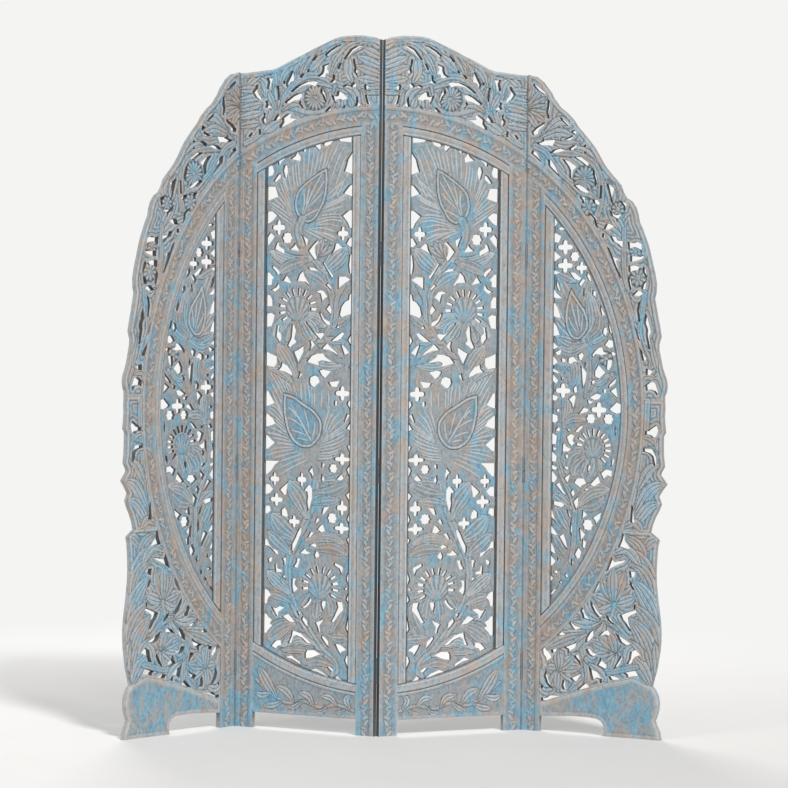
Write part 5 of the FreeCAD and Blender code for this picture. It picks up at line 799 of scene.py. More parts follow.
class Blank:
    """A board from the frame, laid flat in its panel's drawing, with its faces cut free."""
    fold_paint: float = 0.55 * MM   # paint on the edges at the folds, which narrows the gap
    fold_lip: float = 0.7           # millimetres that it stands before the face at a front hinge
    lip_reach: float = 0.02         # how near the hinge's axis the lip stands, centimetres
    fold_shade: float = 2.0          # strength of the painted shade line along the fold
    fold_shade_width: float = 0.22        # half the width of that painted shade line, centimetres
    back_spacing: float = 2.2       # times as wide between the points of the back
    clearance: float = 0.55         # share of the spacing that points keep from a rim
    wall_grime_and_shade: float = 0.55         # how much grime and painted shade the walls get
    weld: float = 2e-6              # corners nearer than this are one, metres
    on_edge: float = 2e-5           # how near an edge a corner lies on it, metres
    on_face: float = 3e-5           # how near a face a corner lies on it, metres

    def __init__(self, node: str, stand: Stand, front: float, back: float, step: float) -> None:
        """Read the board.

        Args:
            node: Name of the board.
            stand: The panel that it belongs to.
            front: Where its front face lies, metres back from the frame's face.
            back: Where its back face lies.
            step: Spacing of the carver's points on the front, centimetres.
        """
        self.front, self.back, self.step = front, back, step * COARSE
        self.front_fold = PITCH if stand.inner else 0.0
        shell = bmesh.new()
        shell.from_mesh(bpy.data.objects[node].data)
        bmesh.ops.remove_doubles(shell, verts=shell.verts, dist=self.weld)
        flat = stand.drawn(np.array([tuple(v.co) for v in shell.verts]))
        for edge, way in ((HALF_GAP * CM, -1.0), ((PITCH - HALF_GAP) * CM, 1.0)):
            flat[np.abs(flat[:, 0] - edge) < self.on_edge, 0] += way * self.fold_paint
        for vert, place in zip(shell.verts, flat):
            vert.co = place
        for depth in (front, back):
            faces = [f for f in shell.faces if all(abs(v.co.y - depth) < self.on_face for v in f.verts)]
            bmesh.ops.delete(shell, geom=faces, context="FACES")
        rims = [[e for e in shell.edges if e.is_boundary
                 and all(abs(v.co.y - depth) < self.on_face for v in e.verts)] for depth in (front, back)]
        for rim, gap in zip(rims, (self.step, self.step * self.back_spacing)):
            for edge in rim:
                self.split(edge, gap * CM)
        shell.verts.index_update()
        self.points = np.array([tuple(v.co) for v in shell.verts])
        self.walls = [[v.index for v in f.verts] for f in shell.faces]
        ends = [(e.verts[0].index, e.verts[1].index) for e in shell.edges if e.is_boundary]
        shell.free()
        middle = (front + back) / 2.0
        self.rims = [np.array([e for e in ends if (self.points[e[0], 1] < middle) == ahead])
                     for ahead in (True, False)]

    @staticmethod
    def split(edge: bmesh.types.BMEdge, gap: float) -> None:
        """Divide an edge into even lengths.

        Args:
            edge: The edge.
            gap: The longest that a length may be, metres.
        """
        start, end = edge.verts
        for left in range(math.ceil(edge.calc_length() / gap), 1, -1):
            other, made = bmesh.utils.edge_split(edge, start, 1.0 / left)
            edge = edge if end in edge.verts else other
            start = made

    @staticmethod
    def grid(places: np.ndarray, rim: np.ndarray, step: float) -> np.ndarray:
        """Set points in rows over a face.

        Args:
            places: Where the rim's points lie, centimetres.
            rim: The face's edges, as pairs of their numbers.
            step: Spacing of the points, centimetres.

        Returns:
            The points that lie in the wood.
        """
        a, b = places[rim[:, 0]], places[rim[:, 1]]
        low, high = a.min(0), a.max(0)
        rows = []
        for number, up in enumerate(np.arange(low[1] + step * 0.43, high[1], step * 0.866)):
            hit = (a[:, 1] > up) != (b[:, 1] > up)
            p, q = a[hit], b[hit]
            cuts = np.sort(p[:, 0] + (up - p[:, 1]) / (q[:, 1] - p[:, 1]) * (q[:, 0] - p[:, 0]))
            row = np.arange(low[0] + (number % 2) * step / 2.0, high[0], step)
            row = row[np.searchsorted(cuts, row) % 2 == 1]
            rows.append(np.column_stack((row, np.full(len(row), up))))
        return np.vstack(rows)

    @staticmethod
    def inside(marks: np.ndarray, places: np.ndarray, rim: np.ndarray) -> np.ndarray:
        """Find which places lie in the wood and not in an opening.

        Args:
            marks: The places asked about, centimetres.
            places: Where the rim's points lie, centimetres.
            rim: The face's edges, as pairs of their numbers.

        Returns:
            True for each place in the wood.
        """
        a, b = places[rim[:, 0]], places[rim[:, 1]]
        low, high = np.minimum(a[:, 1], b[:, 1]), np.maximum(a[:, 1], b[:, 1])
        found = np.zeros(len(marks), dtype=bool)
        for part in np.array_split(np.argsort(marks[:, 1]), max(1, len(marks) // 300)):
            across, up = marks[part, 0][:, None], marks[part, 1][:, None]
            near = (low <= up.max()) & (high >= up.min()) & (low != high)
            p, q = a[near], b[near]
            hit = (p[:, 1] > up) != (q[:, 1] > up)
            cut = p[:, 0] + (up - p[:, 1]) / (q[:, 1] - p[:, 1]) * (q[:, 0] - p[:, 0])
            found[part] = (hit & (cut > across)).sum(1) % 2 == 1
        return found

    @staticmethod
    def distances(places: np.ndarray, marks: np.ndarray) -> np.ndarray:
        """Measure how far places are from the nearest of some marks.

        Args:
            places: The places.
            marks: The marks.

        Returns:
            A distance for each place.
        """
        tree = kdtree.KDTree(len(marks))
        for number, (x, z) in enumerate(marks):
            tree.insert((x, z, 0.0), number)
        tree.balance()
        return np.array([tree.find((x, z, 0.0))[2] for x, z in places])

    def outline(self, rim: np.ndarray) -> np.ndarray:
        """Find the edges of the board's own outline.

        Args:
            rim: Edges of one face, with those of its openings.

        Returns:
            Those that run round the board.
        """
        follow: dict[int, list[int]] = {}
        for a, b in rim:
            follow.setdefault(int(a), []).append(int(b))
            follow.setdefault(int(b), []).append(int(a))
        start = int(min(rim[:, 0], key=lambda n: self.points[n, 0]))
        ring, todo = {start}, [start]
        while todo:
            for other in follow[todo.pop()]:
                if other not in ring:
                    ring.add(other)
                    todo.append(other)
        return rim[[int(a) in ring for a in rim[:, 0]]]

    def carve(self, design: Callable[[CarvedFace], None], lift: Callable[[CarvedFace], np.ndarray] | None,
              back_design: Callable[[CarvedFace], None]) -> "Carved":
        """Carve both faces.

        Args:
            design: Cuts the front.
            lift: Millimetres by which the front stands before the blank's face, where it does.
            back_design: Cuts the back.

        Returns:
            The carved board, still in its drawing.
        """
        points = [self.points.copy()]
        tints = np.zeros((len(self.points), 4))
        tints[:, 0] = self.wall_grime_and_shade
        faces: list[Sequence[int]] = list(self.walls)
        count = len(self.points)
        tint_parts = [tints]
        for rim, work, front in ((self.rims[0], design, True), (self.rims[1], back_design, False)):
            used, rim_ids = np.unique(rim, return_inverse=True)
            rim_ids = rim_ids.reshape(-1, 2)
            edge_places = self.points[used][:, [0, 2]] / CM
            step = self.step if front else self.step * self.back_spacing
            inner = self.grid(edge_places, rim_ids, step)
            middles = edge_places[rim_ids].mean(1)
            gaps = self.distances(inner, np.vstack((edge_places, middles)))
            keep = gaps > self.clearance * step
            inner, gaps = inner[keep], gaps[keep]
            everywhere = np.vstack((edge_places, inner))
            _, _, cells, came, _, _ = delaunay_2d_cdt([Vector(p) for p in everywhere],
                                                     [tuple(map(int, e)) for e in rim_ids], [], 2, 1e-6)
            names = np.array([c[0] if c else -1 for c in came])
            cells = names[np.array(cells)]
            wood = (cells >= len(used)).any(1)
            loose = np.nonzero(~wood)[0]
            if len(loose):
                wood[loose] = self.inside(everywhere[cells[loose]].mean(1), edge_places, rim_ids)
            ids = np.concatenate((used, np.arange(count, count + len(inner))))
            cells = ids[cells[wood]]
            faces.extend((cells if front else cells[:, ::-1]).tolist())
            own = self.outline(rim)
            marks = self.points[own].mean(1)[:, [0, 2]] / CM
            face = CarvedFace(everywhere[:, 0], everywhere[:, 1], np.concatenate((np.zeros(len(used)), gaps)),
                              self.distances(everywhere, marks))
            work(face)
            depth = face.deep - (lift(face) if lift and front else 0.0)
            if front:
                depth[np.abs(face.across - self.front_fold) < self.lip_reach] = -self.fold_lip
                # a dark line of painted shade along the front fold, where the gap between the panels is in shade
                face.line += self.fold_shade * groove(face.across, self.front_fold, self.fold_shade_width)
            level = self.front + depth * MM if front else self.back - depth * MM
            points[0][used, 1] = level[:len(used)]
            points.append(np.column_stack((inner[:, 0] * CM, level[len(used):], inner[:, 1] * CM)))
            seen = np.column_stack((face.recess_grime_and_shade, face.wear_and_highlight, face.blue, face.warm))
            tint_parts[0][used] = seen[:len(used)]
            tint_parts.append(seen[len(used):])
            count += len(inner)
        return Carved(np.vstack(points), faces, self.saw_cut_and_shade(), np.vstack(tint_parts))

    def saw_cut_and_shade(self) -> np.ndarray:
        """Say how dark the walls are painted, as saw-cut wood and painted shade: in openings and at folds fully,
        round the board a little.

        Returns:
            A share for each wall.
        """
        ring = {int(n) for rim in self.rims for n in self.outline(rim).flat}
        across = [float(np.mean(self.points[wall, 0])) / CM for wall in self.walls]
        at_fold = [x < 0.1 or x > PITCH - 0.1 for x in across]
        return np.array([1.0 if fold or not ring.intersection(wall) else 0.25
                         for fold, wall in zip(at_fold, self.walls)])


@dataclass
class Carved:
    """A carved board in its panel's drawing, ready to be stood in either half of the screen."""
    points: np.ndarray
    faces: list[Sequence[int]]
    saw_cut_and_shade: np.ndarray            # how dark each of the cut edges is, saw-cut wood and painted shade; they are the first faces
    tints: np.ndarray           # recess grime and shade, wear and highlight, blue, warm at each point

    def stand(self, name: str, stand: Stand, node: str, finish: bpy.types.Material, slot: str) -> bpy.types.Object:
        """Make the board's mesh where its panel stands.

        Args:
            name: The piece's name.
            stand: The panel's stand.
            node: The board that it stands for.
            finish: Its material.
            slot: The record's slot for that material; not used.

        Returns:
            The new piece.
        """
        mesh = bpy.data.meshes.new(name)
        left = stand.side is Side.LEFT
        faces = [f[::-1] for f in self.faces] if left else self.faces
        mesh.from_pydata(stand.placed(self.points).tolist(), [], faces)
        for number, tint in enumerate(("recess_grime_and_shade", "wear_and_highlight", "blue", "warm")):
            layer = mesh.attributes.new(tint, "FLOAT", "POINT")
            layer.data.foreach_set("value", self.tints[:, number].astype(np.float32))
        saw_cut_and_shade = mesh.attributes.new("saw_cut_and_shade", "FLOAT", "FACE")
        shades = np.concatenate((self.saw_cut_and_shade, np.zeros(len(faces) - len(self.saw_cut_and_shade))))
        saw_cut_and_shade.data.foreach_set("value", shades.astype(np.float32))
        mesh.shade_smooth()
        mesh.set_sharp_from_angle(angle=SHARP)
        mesh.materials.append(finish)
        piece = bpy.data.objects.new(name, mesh)
        bpy.context.scene.collection.objects.link(piece)
        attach(piece, stand.body)
        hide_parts(node)
        return piece


class Graph:
    """A node tree with short names for the nodes that the finishes need."""

    def __init__(self, tree: bpy.types.NodeTree) -> None:
        """Start on a tree."""
        self.tree = tree

    def node(self, kind: str, **settings: object) -> bpy.types.Node:
        """Add a node.

        Args:
            kind: The node's type.
            settings: Its properties.

        Returns:
            The node.
        """
        made = self.tree.nodes.new(kind)
        for name, value in settings.items():
            setattr(made, name, value)
        return made

    def feed(self, socket: bpy.types.NodeSocket, value: object) -> None:
        """Link a socket to another, or set its value.

        Args:
            socket: The socket that is fed.
            value: An output to link to it, or a plain value.
        """
        if isinstance(value, bpy.types.NodeSocket):
            self.tree.links.new(value, socket)
        else:
            socket.default_value = value

    def math(self, operation: str, a: object, b: object = 0.0, clamp: bool = False) -> bpy.types.NodeSocket:
        """Do a sum with two values.

        Args:
            operation: The sum.
            a: The first value or output.
            b: The second.
            clamp: Whether the result is kept from 0 to 1.

        Returns:
            Its result.
        """
        made = self.node("ShaderNodeMath", operation=operation, use_clamp=clamp)
        self.feed(made.inputs[0], a)
        self.feed(made.inputs[1], b)
        return made.outputs[0]

    def noise(self, where: object, scale: float, detail: float = 5.0, rough: float = 0.6,
              twist: float = 0.0) -> bpy.types.NodeSocket:
        """Make cloudy noise from 0 to 1.

        Args:
            where: Places on the piece.
            scale: How small the clouds are.
            detail: How many finer layers they have.
            rough: How strong those layers are.
            twist: How far the clouds are pulled about.

        Returns:
            The noise.
        """
        made = self.node("ShaderNodeTexNoise")
        self.feed(made.inputs["Vector"], where)
        for name, value in (("Scale", scale), ("Detail", detail), ("Roughness", rough), ("Distortion", twist)):
            made.inputs[name].default_value = value
        return made.outputs["Fac"]

    def step(self, value: object, low: float, high: float) -> bpy.types.NodeSocket:
        """Make a soft step.

        Args:
            value: What is measured.
            low: Where the step is 0.
            high: Where it is 1.

        Returns:
            The step.
        """
        made = self.node("ShaderNodeMapRange", interpolation_type="SMOOTHSTEP")
        self.feed(made.inputs["Value"], value)
        made.inputs["From Min"].default_value = low
        made.inputs["From Max"].default_value = high
        return made.outputs["Result"]

    def mix(self, share: object, a: object, b: object, blend: str = "MIX") -> bpy.types.NodeSocket:
        """Mix two colours.

        Args:
            share: Share of the second.
            a: The first colour.
            b: The second colour.
            blend: How the second lies on the first.

        Returns:
            The mixture.
        """
        made = self.node("ShaderNodeMix", data_type="RGBA", blend_type=blend)
        self.feed(made.inputs[0], share)
        self.feed(made.inputs[6], a)
        self.feed(made.inputs[7], b)
        return made.outputs[2]

    def stretched(self, where: object, scale: tuple[float, float, float]) -> bpy.types.NodeSocket:
        """Scale places along the axes.

        Args:
            where: Places on the piece.
            scale: A factor for each axis.

        Returns:
            The scaled places.
        """
        made = self.node("ShaderNodeMapping")
        self.feed(made.inputs["Vector"], where)
        made.inputs["Scale"].default_value = scale
        return made.outputs["Vector"]

    def scaled(self, value: object, factor: float, more: object = None) -> bpy.types.NodeSocket:
        """Multiply a value, and add more to it where that is given.

        Args:
            value: The value or output.
            factor: What it is multiplied by.
            more: What is added then.

        Returns:
            The result.
        """
        product = self.math("MULTIPLY", value, factor)
        return product if more is None else self.math("ADD", product, more)

    def bump(self, shader: bpy.types.Node, height: object, strength: float, distance: float) -> None:
        """Give a shader a fine relief.

        Args:
            shader: The shader.
            height: The relief.
            strength: How strongly it shows, 0 to 1.
            distance: How high it stands, metres.
        """
        made = self.node("ShaderNodeBump")
        made.inputs["Strength"].default_value = strength
        made.inputs["Distance"].default_value = distance
        self.feed(made.inputs["Height"], height)
        self.feed(shader.inputs["Normal"], made.outputs["Normal"])


Colour = tuple[float, float, float, float]


def linear(value: int) -> float:
    """The light that one channel of a swatch stands for, 0 to 1, from 0 to 255."""
    share = value / 255.0
    return share / 12.92 if share <= 0.04045 else ((share + 0.055) / 1.055) ** 2.4


def paint(red: int, green: int, blue: int) -> Colour:
    """A paint from its swatch, 0 to 255 a channel."""
    return (linear(red), linear(green), linear(blue), 1.0)


# the thin wash also paints shade in recesses, the full wash also paints highlight on ridges
WASH_THIN_AND_SHADED, WASH_FULL_AND_LIT = paint(120, 134, 143), paint(178, 187, 193)
WASH_ROSE, WASH_GREEN = paint(178, 162, 162), paint(142, 162, 157)
PRIMER_PALE, PRIMER_DARK = paint(190, 172, 158), paint(156, 140, 128)
BLUE_DEEP, BLUE_PALE = paint(58, 144, 180), paint(118, 182, 208)
WOOD_PALE, WOOD_DARK = paint(144, 106, 88), paint(104, 78, 66)
# painted highlight colours for ridges and edges, also paint rubbed pale
RIDGE_COOL, RIDGE_WARM = paint(206, 214, 219), paint(214, 202, 192)
# colours of grime and painted shade in recesses and drawn lines
GRIME_AND_SHADE_BROWN, GRIME_AND_SHADE_BLUE = paint(60, 53, 50), paint(44, 64, 75)
# colours of the walls in openings and at folds: saw-cut wood and painted shade
SAW_CUT_AND_SHADE_BROWN, SAW_CUT_AND_SHADE_BLUE = paint(68, 58, 52), paint(42, 74, 90)
WALL = paint(244, 244, 243)


def worn_wash_group() -> bpy.types.NodeTree:
    """Build the effect that all painted boards share: a rubbed whitewash over blue and bare wood, with painted shade
    and grime in recesses and at walls, and painted highlights on ridges.

    Returns:
        The node group, with inputs Recess_grime_and_shade, Wear_and_highlight, Blue, Warm, Saw_cut_and_shade and
        outputs Color, Roughness, Height.
    """
    tree = bpy.data.node_groups.new("worn wash", "ShaderNodeTree")
    for name in ("Recess_grime_and_shade", "Wear_and_highlight", "Blue", "Warm", "Saw_cut_and_shade"):
        tree.interface.new_socket(name, in_out="INPUT", socket_type="NodeSocketFloat")
    for name, kind in (("Color", "Color"), ("Roughness", "Float"), ("Height", "Float")):
        tree.interface.new_socket(name, in_out="OUTPUT", socket_type=f"NodeSocket{kind}")
    g = Graph(tree)
    given = g.node("NodeGroupInput").outputs
    out = g.node("NodeGroupOutput")
    where = g.node("ShaderNodeTexCoord").outputs["Object"]
    broad = g.noise(where, 11.0, 5.0, 0.62, 0.6)
    cloud = g.noise(where, 38.0, 6.0, 0.7, 0.9)
    flake = g.noise(g.stretched(where, (1.0, 1.0, 0.55)), 120.0, 6.0, 0.72, 0.8)
    streak = g.noise(g.stretched(where, (1.0, 1.0, 0.45)), 34.0, 5.0, 0.58, 0.8)
    speck = g.noise(where, 420.0, 3.0, 0.6)
    other = g.noise(g.stretched(where, (1.0, 1.0, 0.6)), 24.0, 6.0, 0.68, 0.7)
    hue = g.noise(where, 140.0, 4.0, 0.65, 0.5)
    grain = g.noise(g.stretched(where, (160.0, 160.0, 6.0)), 1.0, 4.0, 0.6, 0.2)

    # wash thinner and darker in recesses as painted shade, fuller and paler on rubbed ridges as painted highlight
    wash_cover_shade_and_highlight = g.math("SUBTRACT", g.scaled(given["Wear_and_highlight"], 0.16, flake), g.scaled(given["Recess_grime_and_shade"], 0.3))
    wash = g.mix(g.step(wash_cover_shade_and_highlight, 0.28, 0.72), WASH_THIN_AND_SHADED, WASH_FULL_AND_LIT)
    wash = g.mix(g.scaled(g.step(hue, 0.52, 0.62), 0.7), wash, WASH_ROSE)
    wash = g.mix(g.scaled(g.step(hue, 0.48, 0.38), 0.7), wash, WASH_GREEN)
    beige = g.mix(g.step(cloud, 0.3, 0.7), PRIMER_PALE, PRIMER_DARK)
    warm_at = g.math("ADD", g.scaled(other, 0.65, g.scaled(flake, 0.35)), given["Warm"])
    colour = g.mix(g.scaled(g.step(warm_at, 0.49, 0.63), 0.8), wash, beige)

    blues = g.mix(g.step(flake, 0.35, 0.62), BLUE_DEEP, BLUE_PALE)
    patches = g.scaled(flake, 0.17, g.scaled(broad, 0.45, g.scaled(streak, 0.38)))
    blue_at = g.math("ADD", patches, g.math("SUBTRACT", given["Blue"], g.scaled(given["Wear_and_highlight"], 0.03)))
    thin = g.scaled(g.step(flake, 0.3, 0.62), 0.5, 0.31)
    colour = g.mix(g.math("MULTIPLY", g.step(blue_at, 0.483, 0.585), thin), colour, blues)

    bare = g.scaled(given["Wear_and_highlight"], 0.04, g.scaled(flake, 0.7, g.scaled(cloud, 0.3)))
    bare = g.step(bare, 0.585, 0.665)
    colour = g.mix(g.scaled(bare, 0.7), colour, g.mix(grain, WOOD_PALE, WOOD_DARK))
    # painted highlight on ridges and edges, with paint rubbed pale there
    light = g.math("MULTIPLY", g.scaled(given["Wear_and_highlight"], 0.6), g.step(flake, 0.3, 0.55))
    colour = g.mix(light, colour, g.mix(g.step(other, 0.42, 0.6), RIDGE_COOL, RIDGE_WARM))

    # grime and painted shade: darker in deep cuts, on drawn lines and on walls
    grime_and_shade_mix = g.math("MULTIPLY", g.math("POWER", given["Recess_grime_and_shade"], 1.7), g.scaled(cloud, 0.5, 0.6), clamp=True)
    colour = g.mix(g.scaled(grime_and_shade_mix, 0.88), colour, g.mix(g.step(blue_at, 0.45, 0.56), GRIME_AND_SHADE_BROWN, GRIME_AND_SHADE_BLUE))
    # walls in openings and at folds darkened: saw-cut wood and painted shade
    edge = g.mix(g.step(blue_at, 0.46, 0.56), SAW_CUT_AND_SHADE_BROWN, SAW_CUT_AND_SHADE_BLUE)
    colour = g.mix(g.math("MULTIPLY", given["Saw_cut_and_shade"], g.scaled(flake, 0.4, 0.55)), colour, edge)

    shade = g.scaled(speck, 0.3, 0.785)
    tint = g.node("ShaderNodeCombineColor")
    for channel in range(3):
        g.feed(tint.inputs[channel], shade)
    g.feed(out.inputs["Color"], g.mix(1.0, colour, tint.outputs["Color"], "MULTIPLY"))
    g.feed(out.inputs["Roughness"], g.scaled(flake, 0.25, 0.5))
    relief = g.math("SUBTRACT", g.scaled(flake, 0.5, g.scaled(grain, 0.35)), g.scaled(bare, 0.35))
    g.feed(out.inputs["Height"], g.scaled(speck, 0.15, relief))
    return tree


@dataclass(frozen=True)
class Finish:
    """What every finish starts from."""
    name: str

    def started(self) -> tuple[bpy.types.Material, Graph, bpy.types.Node]:
        """Start the material.

        Returns:
            The material, its nodes and its shader.
        """
        made = bpy.data.materials.new(self.name)
        made.use_nodes = True
        shader = next(n for n in made.node_tree.nodes if n.type == "BSDF_PRINCIPLED")
        return made, Graph(made.node_tree), shader


@dataclass(frozen=True)
class WornPaint(Finish):
    """A painted finish: how blue and how warm it is beyond what its carving says."""
    blue: float = 0.0
    warm: float = 0.0

    def material(self, group: bpy.types.NodeTree) -> bpy.types.Material:
        """Mix the finish.

        Args:
            group: The worn wash effect.

        Returns:
            Its material.
        """
        made, g, shader = self.started()
        wash = g.node("ShaderNodeGroup", node_tree=group)
        more = {"Blue": self.blue, "Warm": self.warm}
        for name in ("Recess_grime_and_shade", "Wear_and_highlight", "Saw_cut_and_shade", "Blue", "Warm"):
            drawn = g.node("ShaderNodeAttribute", attribute_name=name.lower()).outputs["Fac"]
            g.feed(wash.inputs[name], g.math("ADD", drawn, more[name]) if name in more else drawn)
        g.feed(shader.inputs["Base Color"], wash.outputs["Color"])
        g.feed(shader.inputs["Roughness"], wash.outputs["Roughness"])
        g.bump(shader, wash.outputs["Height"], 0.55, 0.0012)
        shader.inputs["Specular IOR Level"].default_value = 0.3
        return made


@dataclass(frozen=True)
class AgedSteel(Finish):
    """Dull steel with brown bloom, for hinges and screws."""
    steel: Colour = paint(132, 140, 146)
    bloom: Colour = paint(98, 82, 70)

    def material(self) -> bpy.types.Material:
        """Mix the finish.

        Returns:
            Its material.
        """
        made, g, shader = self.started()
        where = g.node("ShaderNodeTexCoord").outputs["Object"]
        rust = g.step(g.noise(where, 140.0, 6.0, 0.65, 0.4), 0.48, 0.66)
        fine = g.noise(where, 900.0, 3.0)
        g.feed(shader.inputs["Base Color"], g.mix(rust, self.steel, self.bloom))
        g.feed(shader.inputs["Roughness"], g.scaled(rust, 0.35, 0.38))
        g.feed(shader.inputs["Metallic"], g.math("SUBTRACT", 0.75, g.scaled(rust, 0.6)))
        g.bump(shader, g.math("ADD", fine, rust), 0.3, 0.0003)
        return made


@dataclass(frozen=True)
class BareWood(Finish):
    """Unpainted hardwood, for dowels."""
    dark: Colour = paint(142, 104, 72)
    pale: Colour = paint(176, 138, 100)

    def material(self) -> bpy.types.Material:
        """Mix the finish.

        Returns:
            Its material.
        """
        made, g, shader = self.started()
        where = g.node("ShaderNodeTexCoord").outputs["Object"]
        streak = g.noise(g.stretched(where, (140.0, 140.0, 7.0)), 1.0, 5.0, 0.6, 0.3)
        g.feed(shader.inputs["Base Color"], g.mix(g.step(streak, 0.35, 0.65), self.dark, self.pale))
        g.feed(shader.inputs["Roughness"], g.scaled(streak, 0.2, 0.5))
        g.bump(shader, streak, 0.3, 0.0004)
        return made


class Carver:
    """Holds the finishes and the cuts that all boards share."""

    def __init__(self) -> None:
        """Mix the finishes."""
        group = worn_wash_group()
        self.frame_paint = WornPaint("frame paint", 0.0, 0.018).material(group)
        self.moulding_paint = WornPaint("moulding paint", -0.02, 0.03).material(group)
        self.pierced_paint = WornPaint("pierced board paint").material(group)
        self.carved_paint = WornPaint("carved board paint", 0.006, 0.004).material(group)
        self.steel = AgedSteel("hinge steel").material()
        self.screw_steel = AgedSteel("screw steel").material()
        self.bare_wood = BareWood("raw wood").material()

    @staticmethod
    def ground(face: CarvedFace) -> None:
        """Cut the ground between the ornaments: rounded bars with a line along their edges.

        Args:
            face: The face being carved.
        """
        edge = face.to_edge
        face.deep = 1.3 + 1.6 * np.exp(-edge / 0.2) + 1.0 * groove(edge, 0.45, 0.12)
        # a painted highlight along the bars' rounded edges
        face.ridge = 0.25 * groove(edge, 0.2, 0.12)

    @staticmethod
    def veined(face: CarvedFace) -> None:
        """Cut the ground of a carved board: veins that follow its edges, as on folded leaves.

        Args:
            face: The face being carved.
        """
        share = face.to_edge / 0.95
        vein = groove(np.abs(share - np.round(share)), 0.0, 0.15) * (share > 0.5) * (share < 4.5)
        face.deep = 1.4 + 1.5 * vein + 1.4 * np.exp(-face.to_edge / 0.2)
        # dark lines of painted shade in the veins, painted highlights on the ridges between them
        face.line = 0.45 * vein
        face.ridge = 0.7 * (1.0 - vein) * groove(np.abs(share % 1.0), 0.3, 0.14) + 0.15 * (1.0 - vein)

    @staticmethod
    def back(face: CarvedFace) -> None:
        """Ease the edges of a back."""
        face.round_over(0.8, 0.22)

    @staticmethod
    def lay_all(face: CarvedFace, ornaments: Sequence[Ornament]) -> None:
        """Cut ornaments in order, the later ones on top."""
        for ornament in ornaments:
            ornament.lay(face)


@dataclass
class Filling:
    """The pierced board of a panel."""
    carver: Carver
    ornaments: tuple[Ornament, ...]
    front: float = 0.007        # where its faces lie behind the frame's, metres
    back: float = 0.016
    proud: float = 3.6          # how far the carving stands before the blank's face, millimetres
    step: float = 0.225         # spacing of the carver's points, centimetres

    def design(self, face: CarvedFace) -> None:
        """Cut the front.

        Args:
            face: The face being carved.
        """
        self.carver.ground(face)
        self.carver.lay_all(face, self.ornaments)
        face.round_over(2.7, 0.16)

    def lift(self, face: CarvedFace) -> np.ndarray:
        """Stand the carving before the rebate that the mouldings cover."""
        return self.proud * smooth(face.to_side, 0.9, 1.3)

    def carve(self, node: str, stand: Stand) -> Carved:
        """Carve the board."""
        blank = Blank(node, stand, self.front, self.back, self.step)
        return blank.carve(self.design, self.lift, self.carver.back)


@dataclass
class Bead:
    """A moulding strip: a round, a quirk and a step along its length."""
    carver: Carver
    inner: bool
    straight: bool
    start: float = 0.0          # the edge against the stile, centimetres across
    width: float = 2.8
    front: float = 0.001        # where its faces lie behind the frame's, metres
    back: float = 0.017
    step: float = 0.2           # spacing of the carver's points, centimetres

    def design(self, face: CarvedFace) -> None:
        """Cut the moulding's profile, from the quirk against the frame to the pierced board.

        Args:
            face: The face being carved.
        """
        if self.straight:
            share = np.abs(face.across - self.start) / self.width
        else:
            share = (FIGURE.groove - FIGURE.radius(face, self.inner)) / self.width
        quirk = groove(share, 0.0, 0.085)
        step = groove(share, 0.63, 0.035)
        face.deep = 0.3 + 3.2 * quirk + 0.9 * ((share - 0.32) / 0.3) ** 2 * (share < 0.63)
        face.deep += 1.0 * smooth(share, 0.6, 0.66) + 0.5 * step
        # a dark line of painted shade in the quirk and at the step, painted highlights on the round and the strip
        face.line = 0.8 * quirk + 0.2 * step
        face.ridge = 0.4 * groove(share, 0.27, 0.2) + 0.6 * groove(share, 0.76, 0.12)
        face.warm += 0.045 * groove(share, 0.36, 0.2) - 0.02
        face.blue += 0.05 * smooth(share, 0.6, 0.75) - 0.02

    def carve(self, node: str, stand: Stand) -> Carved:
        """Carve the strip."""
        return Blank(node, stand, self.front, self.back, self.step).carve(self.design, None, self.carver.back)


@dataclass
class FrameBoard:
    """A board of the frame with its own cut."""
    carver: Carver
    design: Callable[[CarvedFace], None]
    front: float = 0.0          # where its faces lie, metres
    back: float = 0.018
    step: float = 0.2           # spacing of the carver's points, centimetres

    def carve(self, node: str, stand: Stand) -> Carved:
        """Carve the board."""
        return Blank(node, stand, self.front, self.back, self.step).carve(self.design, None, self.carver.back)


Maker = Filling | Bead | FrameBoard
Parts = dict[str, tuple[Maker, bpy.types.Material, str]]


